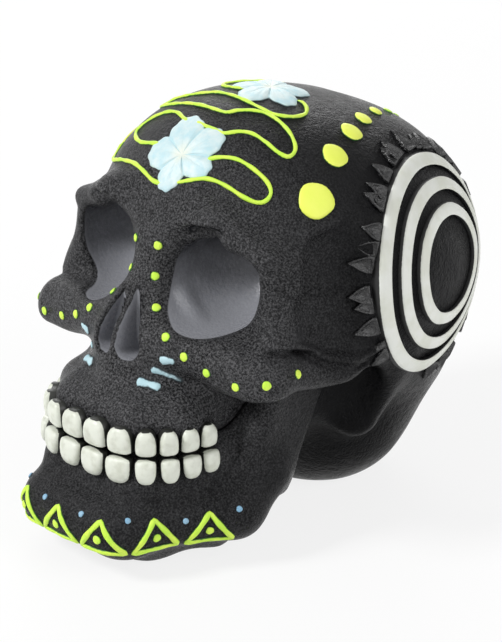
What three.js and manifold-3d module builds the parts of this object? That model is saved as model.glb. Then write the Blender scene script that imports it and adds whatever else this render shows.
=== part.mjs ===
// A decorated skull for a shelf: a cast cranium and jaw, set teeth, and painted relief laid on the casting.
// Millimetres. The face looks along -Y, +X is the skull's own left, +Z is up, and it stands on Z = 0.
import * as THREE from "three";
import { mergeVertices } from "three/addons/utils/BufferGeometryUtils.js";
import Module from "manifold-3d";

const wasm = await Module();
wasm.setup();

// Whole skull: places and radii below are shares of these three.
const skullHalfWidth = 70;
const skullLength = 200;
const skullHeight = 176;
const footprintShift = 5.7; // from the ear line to the middle of the footprint

// Blends where lumps of the casting run into each other.
const softBlend = 18;
const midBlend = 12;
const firmBlend = 8;
const throatBlend = 6;

// Facets, and the gaps that seated pieces keep to what carries them.
const craniumFacet = 9.6;
const jawFacet = 7.6;
const seatGap = 0.5;
const leastGap = 0.35;
const jawGap = 1.3;
const cutOverrun = 12;
const weldDistance = 0.001;
const slopeStep = 0.05;
const slopeFloor = 0.25;
const castTurns = 80;
const castShare = 0.8; // of the way that the field allows, as it is no true distance
const settleTurns = 3;

// Eye sockets and nose.
const socketHalfWidth = 0.25 * skullHalfWidth;
const socketHalfHeight = 0.127 * skullHeight;
const socketDepth = 0.165 * skullLength;
const socketSpread = 0.465 * skullHalfWidth;
const socketFacets = { around: 26, down: 16 };
const noseTopRadius = 0.038 * skullHalfWidth;
const noseLobeRadius = 0.08 * skullHalfWidth;
const noseLobeSpread = 0.093 * skullHalfWidth;
const noseTopSpread = 0.05 * skullHalfWidth;
const noseTopHeight = 0.611 * skullHeight;
const noseLobeHeight = 0.503 * skullHeight;
const noseDepth = 0.07 * skullLength;
const noseLobeSteps = 6;

// Teeth: six to a side in each row, on one horseshoe curve.
const archHalfWidth = 0.543 * skullHalfWidth;
const archDepth = 0.2325 * skullLength;
const archMiddle = -0.2275 * skullLength;
const frontToothWidth = 0.183 * skullHalfWidth;
const crownHeight = 0.063 * skullHeight;
const crownThickness = 0.04 * skullLength;
const toothSpacing = 0.9;
const biteHeight = 0.291 * skullHeight;
const biteGap = 2.4;
const lowerRowProud = 1.5;
const archPower = 0.65;
const archWalkSteps = 2000;
const crownSides = 8;
const crownSquareness = 0.7;

// Side rosettes: three raised bands with a pointed collar round them.
const rosetteStretch = (0.88 * skullLength) / skullHeight; // breadth to height
const hubRadius = 0.1114 * skullHeight;
const bandWidth = 0.0307 * skullHeight;
const bandSpacing = 0.0295 * skullHeight;
const bandHeight = 2.2;
const bandSides = 30;
const collarSeat = 1.25;
const collarHeight = 2.4;
const collarWidth = 1.6;
const spikeLength = 0.053 * skullHeight;
const spikeCount = 26;
const collarBare = { ahead: 0.077, share: 0.13 }; // no spikes over the jaw, a little ahead of straight down

// Flowers, crown dots, icing lines and chin triangles.
const foreheadFlowerRadius = 0.235 * skullHalfWidth;
const crownFlowerRadius = 0.243 * skullHalfWidth;
const flowerHeight = 1.8;
const petalCount = 5;
const petalSides = 7;
const largestDotRadius = 0.107 * skullHalfWidth;
const dotHeight = 1.3;
const dotSides = 12;
const icingWidth = 2.1;
const icingHeight = 1.4;
const icingStep = 5;
const triangleWidth = 0.15 * skullHalfWidth + 0.0525 * skullLength;
const triangleHeight = 0.085 * skullHeight;
const triangleLine = 2.6;
const triangleRelief = 1.2;
const chinLineHeight = 0.1165 * skullHeight;
const jawAxis = -0.3 * skullLength;

const units = new THREE.Vector3(skullHalfWidth, skullLength, skullHeight);
const vaultCentre = placed([0, 0.075, 0.565]);

// Lumps of the cranium: centre, half sizes and blend.
const vaultShares = [
  [[0, 0.075, 0.565], [0.94, 0.365, 0.418], softBlend],
  [[0.14, 0.235, 0.585], [0.78, 0.245, 0.285], softBlend],
  [[0, -0.045, 0.685], [0.86, 0.235, 0.3], softBlend],
  [[0, 0.265, 0.37], [0.76, 0.215, 0.285], softBlend],
  [[0, 0.19, 0.17], [0.62, 0.2, 0.2], midBlend],
  [[0, -0.13, 0.545], [0.71, 0.18, 0.205], midBlend],
  [[0, -0.275, 0.48], [0.36, 0.12, 0.13], midBlend],
  [[0, -0.26, 0.36], [0.4, 0.135, 0.082], midBlend],
  [[0, -0.17, 0.34], [0.44, 0.2, 0.16], midBlend],
  [[0, -0.19, 0.365], [0.54, 0.19, 0.11], firmBlend],
];

// Ridges of the cranium: two ends, the radius at each as a share of the height, and blend.
const ridgeShares = [
  [[0, -0.18, 0.69], [0, -0.29, 0.6], 0.028, 0.03, firmBlend],
  [[0.1, -0.205, 0.76], [0.4, -0.243, 0.772], 0.045, 0.042, firmBlend],
  [[0.4, -0.243, 0.772], [0.71, -0.185, 0.7], 0.042, 0.045, firmBlend],
  [[0.71, -0.185, 0.7], [0.79, -0.205, 0.56], 0.045, 0.05, firmBlend],
  [[0.8, -0.262, 0.47], [0.34, -0.305, 0.51], 0.068, 0.05, firmBlend],
  [[0.83, -0.235, 0.46], [0.88, -0.07, 0.455], 0.052, 0.045, firmBlend],
  [[0.88, -0.07, 0.455], [0.86, 0.08, 0.485], 0.045, 0.04, firmBlend],
  [[0.77, 0.11, 0.44], [0.63, 0.08, 0.25], 0.075, 0.06, midBlend],
  [[0, -0.375, 0.385], [0.24, -0.345, 0.375], 0.045, 0.036, firmBlend],
  [[0.24, -0.345, 0.375], [0.41, -0.265, 0.38], 0.036, 0.036, firmBlend],
  [[0, -0.42, 0.35], [0.25, -0.405, 0.35], 0.038, 0.038, firmBlend],
  [[0.25, -0.405, 0.35], [0.41, -0.345, 0.35], 0.038, 0.038, firmBlend],
  [[0.41, -0.345, 0.35], [0.46, -0.23, 0.352], 0.038, 0.038, firmBlend],
];

// Hollows of the cranium: beside the bridge of the nose, temple, below the cheek arch, below the cheek.
const hollowShares = [
  [[0.26, -0.325, 0.685], [0.15, 0.075, 0.085], firmBlend],
  [[1.08, -0.115, 0.655], [0.2, 0.1, 0.14], firmBlend],
  [[0.8, -0.03, 0.32], [0.2, 0.11, 0.135], firmBlend],
  [[0.8, -0.235, 0.335], [0.27, 0.12, 0.1], firmBlend],
];

// Rods of the jaw, its upright branch, and the hollow of the throat.
const jawShares = [
  [[0, -0.455, 0.12], [0.28, -0.44, 0.115], 0.07, 0.07, firmBlend],
  [[0.28, -0.44, 0.115], [0.57, -0.25, 0.125], 0.07, 0.07, firmBlend],
  [[0.57, -0.25, 0.125], [0.62, -0.17, 0.19], 0.065, 0.052, firmBlend],
  [[0, -0.425, 0.205], [0.28, -0.405, 0.21], 0.057, 0.057, firmBlend],
  [[0.28, -0.405, 0.21], [0.48, -0.27, 0.225], 0.057, 0.045, firmBlend],
  [[0, -0.415, 0.245], [0.26, -0.39, 0.245], 0.042, 0.042, firmBlend],
  [[0.26, -0.39, 0.245], [0.44, -0.27, 0.245], 0.042, 0.04, firmBlend],
  [[0, -0.495, 0.12], [0.27, -0.485, 0.115], 0.052, 0.052, firmBlend],
  [[0, -0.41, 0.055], [0.2, -0.365, 0.055], 0.065, 0.062, firmBlend],
  [[0.2, -0.365, 0.055], [0.38, -0.25, 0.05], 0.062, 0.055, firmBlend],
];
const branchShares = { at: [0.64, -0.135, 0.32], half: [0.075, 0.08, 0.2], round: 0.03 };
const branchTurn = { lean: 7, sweep: -19 };
const throatShares = { at: [0, -0.24, 0.08], half: [0.4, 0.17, 0.34] };
const sideShares = { at: [0.385, 0.14, 0.59], half: [0.6, 0.3, 0.305] };
const socketShares = { back: -0.265, height: 0.665 };
const socketTurn = { lean: 10, splay: -12 };

// Places on the vault as angles from its centre: degrees to the left, degrees up from straight ahead.
const foreheadFlowerAngles = [3.3, 46.2];
const crownFlowerAngles = [3, 84];
const rosetteAngles = [67, 162];
const rosetteTurn = { back: 20, up: 5 };
const crownDotAngles = [[43, 55], [37, 76], [31.5, 92], [26, 104], [21, 115]];
const crownDotShares = [1, 0.76, 0.66, 0.52, 0.4];
const browLoopAngles = [
  [16.5, 51], [20, 51.6], [25, 51], [29, 50], [31.5, 47.5], [31.3, 44.3], [29, 42.6], [25.5, 42.3], [21, 42.9], [16.5, 42.8],
];
const browLineAngles = [[-7.5, 38.6], [-14.5, 40.5], [-22, 41], [-28, 41.3], [-34, 42.5], [-37, 46]];
const templeLoopAngles = [
  [-6.5, 58.2], [-10, 59], [-14.5, 59.1], [-19, 57.6], [-23, 55], [-24.4, 52], [-21.4, 49], [-17, 47.5],
];
const crestLineAngles = [
  [8, 58.5], [11, 58.3], [14, 59.8], [17, 61], [22, 61], [26, 60.5], [29, 61.5], [29.3, 64.2], [28, 66.7],
  [24, 69.2], [19, 70.3], [14, 70], [10.5, 68.4], [7.4, 66], [5, 63.8], [1, 63.4], [-4, 63.5], [-10, 63.5],
  [-16.5, 63.3], [-20.5, 64.3], [-20, 67], [-16, 68.6], [-11, 70], [-6, 71.4], [0, 71.9],
];
const triangleAngles = [-84, -54, -27, 0, 27, 54, 84];

const paints = {
  resin: { color: 0x17171a, roughness: 0.55 },
  enamel: { color: 0xe9ead8, roughness: 0.5 },
  band: { color: 0xe6e8dc, roughness: 0.5 },
  neon: { color: 0xd8ff1a, roughness: 0.6 },
  blossom: { color: 0xc4e4ea, roughness: 0.6 },
};

function placed(shares) {
  return new THREE.Vector3(...shares).multiply(units);
}

// Distance fields

function smoothUnion(a, b, blend) {
  const meet = Math.max(blend - Math.abs(a - b), 0) / blend;
  return Math.min(a, b) - (meet * meet * blend) / 4;
}

function smoothCut(a, b, blend) {
  return -smoothUnion(-a, b, blend);
}

function ball(centre, half, turn = new THREE.Matrix4()) {
  const q = new THREE.Vector3();
  return (p) => {
    q.copy(p).sub(centre).applyMatrix4(turn).divide(half);
    const reach = q.length();
    return (reach * (reach - 1)) / Math.max(q.divide(half).length(), Number.EPSILON);
  };
}

function rod(start, end, startRadius, endRadius) {
  const along = end.clone().sub(start);
  const square = along.lengthSq();
  const from = new THREE.Vector3();
  return (p) => {
    const share = THREE.MathUtils.clamp(from.copy(p).sub(start).dot(along) / square, 0, 1);
    return from.addScaledVector(along, -share).length() - startRadius - (endRadius - startRadius) * share;
  };
}

function turnedBlock(centre, half, round, turn) {
  const q = new THREE.Vector3();
  return (p) => {
    q.copy(p).sub(centre).applyMatrix4(turn);
    q.set(Math.abs(q.x) - half.x + round, Math.abs(q.y) - half.y + round, Math.abs(q.z) - half.z + round);
    const inside = Math.min(Math.max(q.x, q.y, q.z), 0);
    return Math.hypot(Math.max(q.x, 0), Math.max(q.y, 0), Math.max(q.z, 0)) + inside - round;
  };
}

function rodsFrom(rows) {
  return rows.map(([start, end, startShare, endShare, blend]) => ({
    field: rod(placed(start), placed(end), startShare * skullHeight, endShare * skullHeight),
    blend,
  }));
}

function ballsFrom(rows) {
  return rows.map(([centre, half, blend]) => ({ field: ball(placed(centre), placed(half)), blend }));
}

function gather(lumps, hollows) {
  const folded = new THREE.Vector3();
  return (p) => {
    folded.set(Math.abs(p.x), p.y, p.z);
    const body = lumps.reduce((d, lump) => smoothUnion(d, lump.field(folded), lump.blend), Infinity);
    return hollows.reduce((d, hollow) => smoothCut(d, hollow.field(folded), hollow.blend), body);
  };
}

// The gentle dome that carries the rosette, turned to face as the rosette does.
function sideDome() {
  const upright = new THREE.Matrix4().makeRotationY(THREE.MathUtils.degToRad(rosetteTurn.up));
  const turn = upright.multiply(new THREE.Matrix4().makeRotationZ(THREE.MathUtils.degToRad(-rosetteTurn.back)));
  return { field: ball(placed(sideShares.at), placed(sideShares.half), turn), blend: softBlend };
}

const craniumLumps = [...ballsFrom(vaultShares), sideDome(), ...rodsFrom(ridgeShares)];
const craniumField = gather(craniumLumps, ballsFrom(hollowShares));

function makeJawField() {
  const lean = new THREE.Matrix4().makeRotationY(THREE.MathUtils.degToRad(-branchTurn.lean));
  const turn = new THREE.Matrix4().makeRotationX(THREE.MathUtils.degToRad(-branchTurn.sweep)).multiply(lean);
  const round = branchShares.round * skullHeight;
  const branch = turnedBlock(placed(branchShares.at), placed(branchShares.half), round, turn);
  const throat = ball(placed(throatShares.at), placed(throatShares.half));
  const lumps = [...rodsFrom(jawShares), { field: branch, blend: firmBlend }];
  return gather(lumps, [{ field: throat, blend: throatBlend }]);
}

const jawField = makeJawField();

function slope(field, p) {
  const e = slopeStep;
  const at = (x, y, z) => field(new THREE.Vector3(p.x + x, p.y + y, p.z + z));
  const s = new THREE.Vector3(at(e, 0, 0) - at(-e, 0, 0), at(0, e, 0) - at(0, -e, 0), at(0, 0, e) - at(0, 0, -e));
  return s.divideScalar(e + e);
}

// Skin of a field: one vertex for each surface patch in a cell of the grid, so that the mesh closes.

function sampleGrid(field, low, high, step, level) {
  const count = [0, 1, 2].map((i) => {
    return Math.ceil((high.getComponent(i) - low.getComponent(i)) / step) + 1;
  });
  const stride = [1, count[0], count[0] * count[1]];
  const values = new Float64Array(stride[2] * count[2]);
  const p = new THREE.Vector3();
  for (let k = 0; k < count[2]; k++)
    for (let j = 0; j < count[1]; j++)
      for (let i = 0; i < count[0]; i++) {
        p.set(low.x + i * step, low.y + j * step, low.z + k * step);
        values[i + j * stride[1] + k * stride[2]] = field(p) - level || Number.EPSILON;
      }
  return { count, stride, values, low, step };
}

// A face of the grid whose corners lie inside on one diagonal only would pinch the skin, so it is filled.
function fillPinches({ count, stride, values }) {
  let found = true;
  while (found) {
    found = false;
    for (let n = 0; n < 3; n++) {
      const u = stride[(n + 1) % 3];
      const w = stride[(n + 2) % 3];
      for (let at = 0; at + u + w < values.length; at++) {
        const [a, b, c, d] = [values[at] < 0, values[at + u] < 0, values[at + u + w] < 0, values[at + w] < 0];
        if (a !== c || b !== d || a === b) continue;
        values[a ? at + u : at] = -Number.EPSILON;
        found = true;
      }
    }
  }
}

// Cell edges are numbered by axis and by their side along the next two axes.
const faceEdges = [0, 1, 2].flatMap((n) => {
  const u = (n + 1) % 3;
  const w = (n + 2) % 3;
  return [0, 1].map((side) => [4 * u + 2 * side, 4 * u + 1 + 2 * side, 4 * w + side, 4 * w + side + 2]);
});

function cellPatches(grid, cell) {
  const { stride, values, low, step, count } = grid;
  const owner = new Int8Array(12).fill(-1);
  const crossing = [];
  const corner = new THREE.Vector3(
    low.x + (cell % count[0]) * step,
    low.y + (Math.floor(cell / stride[1]) % count[1]) * step,
    low.z + Math.floor(cell / stride[2]) * step,
  );
  for (let edge = 0; edge < 12; edge++) {
    const axis = edge >> 2;
    const sides = [0, 0, 0];
    sides[(axis + 1) % 3] = edge & 1;
    sides[(axis + 2) % 3] = (edge >> 1) & 1;
    const start = cell + sides[0] * stride[0] + sides[1] * stride[1] + sides[2] * stride[2];
    const [a, b] = [values[start], values[start + stride[axis]]];
    if (a < 0 === b < 0) continue;
    owner[edge] = edge;
    sides[axis] = a / (a - b);
    crossing[edge] = new THREE.Vector3(...sides).multiplyScalar(step).add(corner);
  }
  for (const edges of faceEdges) {
    const [first, second] = edges.filter((edge) => owner[edge] >= 0);
    if (second === undefined || owner[first] === owner[second]) continue;
    const [keep, drop] = [owner[first], owner[second]];
    owner.forEach((value, edge) => {
      if (value === drop) owner[edge] = keep;
    });
  }
  return { owner, crossing };
}

function settle(field, point, level, reach) {
  const start = point.clone();
  for (let turn = 0; turn < settleTurns; turn++) {
    const rise = slope(field, point);
    point.addScaledVector(rise, (level - field(point)) / Math.max(rise.lengthSq(), slopeFloor));
  }
  if (point.distanceTo(start) > reach) point.copy(start);
  return point;
}

function skin(field, low, high, step, level = 0) {
  const grid = sampleGrid(field, low, high, step, level);
  fillPinches(grid);
  const { count, stride, values } = grid;
  const vertices = [];
  const patchOf = new Map();
  function vertexAt(cell, edge) {
    if (!patchOf.has(cell)) {
      const { owner, crossing } = cellPatches(grid, cell);
      const ids = new Int32Array(12).fill(-1);
      for (const group of new Set(owner.filter((value) => value >= 0))) {
        const members = crossing.filter((_, e) => owner[e] === group);
        const middle = members.reduce((sum, c) => sum.add(c), new THREE.Vector3()).divideScalar(members.length);
        owner.forEach((value, e) => {
          if (value === group) ids[e] = vertices.length;
        });
        vertices.push(settle(field, middle, level, step / 2));
      }
      patchOf.set(cell, ids);
    }
    return patchOf.get(cell)[edge];
  }
  const triangles = [];
  for (let axis = 0; axis < 3; axis++) {
    const [u, w] = [stride[(axis + 1) % 3], stride[(axis + 2) % 3]];
    for (let at = 0; at + stride[axis] < values.length; at++) {
      const inside = values[at] < 0;
      if (inside === values[at + stride[axis]] < 0) continue;
      const around = [[1, 1], [0, 1], [0, 0], [1, 0]];
      const quad = around.map(([a, b]) => vertexAt(at - a * u - b * w, 4 * axis + a + 2 * b));
      if (!inside) quad.reverse();
      const spans = [0, 1].map((i) => vertices[quad[i]].distanceTo(vertices[quad[i + 2]]));
      const [a, b, c, d] = spans[0] < spans[1] ? quad : [...quad.slice(1), quad[0]];
      triangles.push(a, b, c, a, c, d);
    }
  }
  return solid(vertices, triangles);
}

// Solids

function solid(vertices, triangles) {
  const vertProperties = new Float32Array(vertices.flatMap((v) => [v.x, v.y, v.z]));
  const made = new wasm.Manifold(new wasm.Mesh({ numProp: 3, vertProperties, triVerts: new Uint32Array(triangles) }));
  if (made.volume() > 0) return made;
  const turned = triangles.map((_, i) => triangles[i - (i % 3) + 2 - (i % 3)]);
  return new wasm.Manifold(new wasm.Mesh({ numProp: 3, vertProperties, triVerts: new Uint32Array(turned) }));
}

function solidOf(geometry) {
  const bare = new THREE.BufferGeometry().setAttribute("position", geometry.getAttribute("position"));
  bare.setIndex(geometry.index);
  const merged = mergeVertices(bare, weldDistance);
  const mesh = { numProp: 3, vertProperties: merged.attributes.position.array };
  return new wasm.Manifold(new wasm.Mesh({ ...mesh, triVerts: new Uint32Array(merged.index.array) }));
}

// A loft through sections of equally many points, closed into a ring or capped at both ends.
function loft(sections, ring = false) {
  const sides = sections[0].length;
  const vertices = sections.flat();
  const triangles = [];
  const steps = ring ? sections.length : sections.length - 1;
  for (let s = 0; s < steps; s++)
    for (let i = 0; i < sides; i++) {
      const next = (i + 1) % sides;
      const [a, b] = [s * sides + i, s * sides + next];
      const [c, d] = [((s + 1) % sections.length) * sides + next, ((s + 1) % sections.length) * sides + i];
      triangles.push(a, b, c, a, c, d);
    }
  if (!ring)
    [sections[0], sections.at(-1)].forEach((section, end) => {
      const middle = section.reduce((sum, p) => sum.add(p), new THREE.Vector3()).divideScalar(sides);
      const first = end * (sections.length - 1) * sides;
      for (let i = 0; i < sides; i++) {
        const pair = [first + ((i + 1) % sides), first + i];
        triangles.push(vertices.length, ...(end ? pair.reverse() : pair));
      }
      vertices.push(middle);
    });
  return solid(vertices, triangles);
}

// Frames on the casting

function frameAt(field, point, guide, normal = slope(field, point).normalize()) {
  const up = guide.clone().addScaledVector(normal, -guide.dot(normal)).normalize();
  return { field, origin: point, normal, up, across: up.clone().cross(normal) };
}

// The first point with this height over the casting, going inwards from outside.
function cast(field, start, inward, height) {
  const p = start.clone();
  for (let turn = 0; turn < castTurns; turn++) p.addScaledVector(inward, (field(p) - height) * castShare);
  return p;
}

function vaultPoint([left, rise], height = 0) {
  const side = THREE.MathUtils.degToRad(left);
  const lift = THREE.MathUtils.degToRad(rise);
  const outward = new THREE.Vector3(
    Math.sin(side),
    -Math.cos(side) * Math.cos(lift),
    Math.cos(side) * Math.sin(lift),
  );
  const start = vaultCentre.clone().addScaledVector(outward, skullHeight);
  return cast(craniumField, start, outward.negate(), height);
}

function jawPoint(left, height) {
  const side = THREE.MathUtils.degToRad(left);
  const outward = new THREE.Vector3(Math.sin(side), -Math.cos(side), 0);
  const start = new THREE.Vector3(0, jawAxis, height).addScaledVector(outward, skullHeight);
  return cast(jawField, start, outward.negate(), 0);
}

function lifted(frame, [u, v], height) {
  const start = frame.origin.clone().addScaledVector(frame.across, u).addScaledVector(frame.up, v);
  start.addScaledVector(frame.normal, skullHalfWidth);
  return cast(frame.field, start, frame.normal.clone().negate(), height);
}

// Layers of outline points, each at its own height over the casting.
function relief(frame, layers, ring = false) {
  return loft(layers.map(([outline, height]) => outline.map((point) => lifted(frame, point, height))), ring);
}

function roundOutline(count, radiusAt) {
  return Array.from({ length: count }, (_, i) => {
    const angle = (2 * Math.PI * i) / count;
    return [radiusAt(angle, i) * Math.cos(angle), radiusAt(angle, i) * Math.sin(angle)];
  });
}

// Casting

function turnedBall(centre, half, lean, splay) {
  const turn = new THREE.Matrix4().makeRotationY(THREE.MathUtils.degToRad(lean));
  turn.multiply(new THREE.Matrix4().makeRotationZ(THREE.MathUtils.degToRad(splay)));
  const geometry = new THREE.SphereGeometry(1, socketFacets.around, socketFacets.down);
  geometry.scale(half.x, half.y, half.z).applyMatrix4(turn);
  return solidOf(geometry.translate(centre.x, centre.y, centre.z));
}

function socketCutter(side) {
  const centre = placed([0, socketShares.back, socketShares.height]).setX(side * socketSpread);
  const half = new THREE.Vector3(socketHalfWidth, socketDepth, socketHalfHeight);
  return turnedBall(centre, half, side * socketTurn.lean, side * socketTurn.splay);
}

// A teardrop outline through the bone, leaving the thin wall between the two halves of the nose.
function noseCutter(side) {
  const top = new THREE.Vector2(side * noseTopSpread, noseTopHeight);
  const lobe = new THREE.Vector2(side * noseLobeSpread, noseLobeHeight);
  const outline = [];
  for (const [centre, radius, from] of [[top, noseTopRadius, 0], [lobe, noseLobeRadius, Math.PI]])
    for (let i = 0; i <= noseLobeSteps; i++) {
      const angle = from + (Math.PI * i) / noseLobeSteps;
      outline.push(new THREE.Vector2(Math.cos(angle), Math.sin(angle)).multiplyScalar(radius).add(centre));
    }
  const front = -skullLength / 2;
  const back = cast(craniumField, new THREE.Vector3(0, front, noseLobeHeight), new THREE.Vector3(0, 1, 0), 0);
  const depth = back.y + noseDepth - front;
  const geometry = new THREE.ExtrudeGeometry(new THREE.Shape(outline), { depth, bevelEnabled: false });
  geometry.rotateX(Math.PI / 2).translate(0, back.y + noseDepth, 0);
  return solidOf(geometry);
}

function groundCutter() {
  const size = [skullLength, skullLength * 2, cutOverrun * 2];
  return solidOf(new THREE.BoxGeometry(...size).translate(0, 0, -cutOverrun));
}

function craniumSkin(level) {
  const high = new THREE.Vector3(skullHalfWidth, skullLength / 2, skullHeight).addScalar(cutOverrun);
  const low = new THREE.Vector3(-high.x, -high.y, -cutOverrun);
  return skin(craniumField, low, high, craniumFacet, level);
}

function jawSkin(level) {
  const high = new THREE.Vector3(skullHalfWidth, skullLength / 2 + cutOverrun, skullHeight / 2 + cutOverrun);
  const low = new THREE.Vector3(-high.x, -high.y, -cutOverrun);
  return skin(jawField, low, high, jawFacet, level);
}

const craniumClear = craniumSkin(leastGap);
const jawClear = jawSkin(leastGap);

// Teeth

const toothWidthShares = [1, 0.91, 0.71, 0.65, 0.69, 0.65];
// From the biting edge to the root: height, width, thickness.
const crownProfileShares = [[0, 0.9, 0.66], [0.16, 1, 0.9], [0.7, 0.9, 1], [1, 0.46, 0.66]];

function archPoint(turn) {
  const x = archHalfWidth * Math.sin(turn) ** archPower;
  const y = archMiddle - archDepth * Math.max(Math.cos(turn), 0) ** archPower;
  return new THREE.Vector3(x, y, 0);
}

// Seats along the horseshoe, found by walking it from the middle outwards.
function archSeats() {
  const turns = Array.from({ length: archWalkSteps + 1 }, (_, i) => (Math.PI * i) / (2 * archWalkSteps));
  const path = turns.map(archPoint);
  const seats = [];
  let walked = 0;
  let target = (toothWidthShares[0] * frontToothWidth) / 2;
  for (let i = 1; i < path.length && seats.length < toothWidthShares.length; i++) {
    walked += path[i].distanceTo(path[i - 1]);
    if (walked < target) continue;
    const along = path[i].clone().sub(path[i - 1]).normalize();
    seats.push({ at: path[i], along });
    const n = seats.length;
    target += ((toothWidthShares[n - 1] + (toothWidthShares[n] ?? 0)) * frontToothWidth) / 2;
  }
  return seats;
}

function toothSolid(seat, index, side, upper, grow) {
  const width = toothWidthShares[index] * frontToothWidth - toothSpacing + 2 * grow;
  const thickness = crownThickness + 2 * grow;
  const edge = biteHeight + (upper ? biteGap : -biteGap) / 2;
  const rise = upper ? 1 : -1;
  const outward = new THREE.Vector3(seat.along.y, -seat.along.x, 0);
  const proud = upper ? 0 : lowerRowProud;
  const squared = (share) => Math.sign(share) * Math.abs(share) ** crownSquareness;
  const sections = crownProfileShares.map(([heightShare, widthShare, thickShare], row) => {
    const last = row === crownProfileShares.length - 1;
    const z = edge + rise * (heightShare * crownHeight + (last ? grow : 0) - (row ? 0 : grow));
    return roundOutline(crownSides, () => 1).map(([a, b]) => {
      const across = (squared(a) * width * widthShare) / 2;
      const deep = (squared(b) * thickness * thickShare) / 2 + proud;
      const p = seat.at.clone().addScaledVector(seat.along, across).addScaledVector(outward, deep).setZ(z);
      return p.setX(side * p.x);
    });
  });
  return loft(sections);
}

// Relief on the casting

const bandRadii = [0, 1, 2].map((i) => hubRadius + i * (bandWidth + bandSpacing));

function rosetteFrame(side) {
  const point = vaultPoint(rosetteAngles);
  const back = THREE.MathUtils.degToRad(rosetteTurn.back);
  const up = THREE.MathUtils.degToRad(rosetteTurn.up);
  const normal = new THREE.Vector3(Math.cos(back) * Math.cos(up), Math.sin(back) * Math.cos(up), Math.sin(up));
  point.x *= side;
  normal.x *= side;
  return frameAt(craniumField, point, new THREE.Vector3(0, 0, 1), normal);
}

// Outlines of the relief: size share and height share for each layer above the seat.
const petalLayerShares = [[0.96, 0.75], [0.55, 1], [0.2, 0.7]];
const petalWaveShares = { valley: 0.52, power: 0.75, seat: 0.5 };
const dotLayerShares = [[0.93, 0.8], [0.5, 1]];
const icingOutlineShares = [[0.4, 0.8], [0, 1], [-0.4, 0.8]];
const insetShares = { side: 1.9, apex: 1.7 }; // how much faster the sloping sides draw in than the base

function stretched(outline) {
  return outline.map(([across, up]) => [across * rosetteStretch, up]);
}

function bandSolid(side, inner) {
  const circle = (radius) => stretched(roundOutline(bandSides, () => radius));
  const outer = inner + bandWidth;
  const layers = [[circle(inner), seatGap], [circle(inner), bandHeight], [circle(outer), bandHeight]];
  return relief(rosetteFrame(side), [...layers, [circle(outer), seatGap]], true).subtract(craniumClear);
}

function collarSolid(side) {
  const inner = bandRadii[2] + bandWidth + seatGap;
  const valley = inner + collarWidth;
  const points = spikeCount * 2;
  const circle = stretched(roundOutline(points, () => inner));
  const fromBare = (i) => Math.abs(i - points * (0.75 - side * collarBare.ahead));
  const pointed = (i) => i % 2 === 0 && fromBare(i) > (points * collarBare.share) / 2;
  const star = stretched(roundOutline(points, (_, i) => (pointed(i) ? valley + spikeLength : valley)));
  const layers = [[circle, collarSeat], [circle, collarHeight], [star, collarHeight], [star, collarSeat]];
  return relief(rosetteFrame(side), layers, true);
}

function flowerSolid(angles, radius, guide, phase) {
  const frame = frameAt(craniumField, vaultPoint(angles), guide);
  const { valley, power, seat } = petalWaveShares;
  const petals = (scale) =>
    roundOutline(petalCount * petalSides, (angle) => {
      const wave = Math.abs(Math.cos((petalCount * (angle - phase)) / 2)) ** power;
      return radius * scale * (valley + (1 - valley) * wave);
    });
  const layers = petalLayerShares.map(([scale, rise]) => [petals(scale), rise * flowerHeight]);
  return relief(frame, [[petals(seat), seatGap], [petals(1), seatGap], ...layers]);
}

function dotSolid([left, rise], share, side) {
  const frame = frameAt(craniumField, vaultPoint([side * left, rise]), new THREE.Vector3(0, 0, 1));
  const disc = (scale) => roundOutline(dotSides, () => scale * share * largestDotRadius);
  const layers = dotLayerShares.map(([scale, height]) => [disc(scale), height * dotHeight]);
  return relief(frame, [[disc(1), seatGap], ...layers]);
}

function icingSolid(angles) {
  const ends = angles.map((pair) => vaultPoint(pair));
  const path = new THREE.CatmullRomCurve3(ends, false, "centripetal");
  const count = Math.round(path.getLength() / icingStep);
  const upper = icingOutlineShares.map(([share, height]) => [share, height * icingHeight]);
  const outline = [[-0.5, seatGap], [0.5, seatGap], ...upper];
  const sections = path.getSpacedPoints(count).map((point, i) => {
    const normal = slope(craniumField, point).normalize();
    const across = path.getTangentAt(i / count).cross(normal).normalize();
    return outline.map(([share, height]) => {
      const start = point.clone().addScaledVector(across, share * icingWidth).addScaledVector(normal, cutOverrun);
      return cast(craniumField, start, normal.clone().negate(), height);
    });
  });
  return loft(sections).subtract(craniumClear);
}

function triangleSolid(angle) {
  const frame = frameAt(jawField, jawPoint(angle, chinLineHeight), new THREE.Vector3(0, 0, 1));
  const corners = (inset) => {
    const base = -triangleHeight / 2 + inset;
    const half = triangleWidth / 2 - inset * insetShares.side;
    const apex = triangleHeight / 2 - inset * insetShares.apex;
    const points = [[-half, base], [half, base], [0, apex]];
    return points.flatMap(([u, v], i) => {
      const [nextU, nextV] = points[(i + 1) % 3];
      return [[u, v], [(2 * u + nextU) / 3, (2 * v + nextV) / 3], [(u + 2 * nextU) / 3, (v + 2 * nextV) / 3]];
    });
  };
  const [outer, inner] = [corners(0), corners(triangleLine)];
  const layers = [[inner, seatGap], [inner, triangleRelief], [outer, triangleRelief], [outer, seatGap]];
  return relief(frame, layers, true).subtract(jawClear);
}

// Assembly

const skull = new THREE.Group();
skull.name = "sugar_skull";
skull.position.y = footprintShift;

function addPiece(name, made, paint) {
  const { numProp, vertProperties, triVerts } = made.getMesh();
  const geometry = new THREE.BufferGeometry();
  const points = new THREE.InterleavedBuffer(vertProperties, numProp);
  geometry.setAttribute("position", new THREE.InterleavedBufferAttribute(points, 3, 0));
  geometry.setIndex(new THREE.BufferAttribute(triVerts, 1));
  const flat = geometry.toNonIndexed();
  flat.computeVertexNormals();
  const mesh = new THREE.Mesh(flat, new THREE.MeshStandardMaterial({ ...paints[paint], metalness: 0 }));
  mesh.name = name;
  skull.add(mesh);
}

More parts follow.
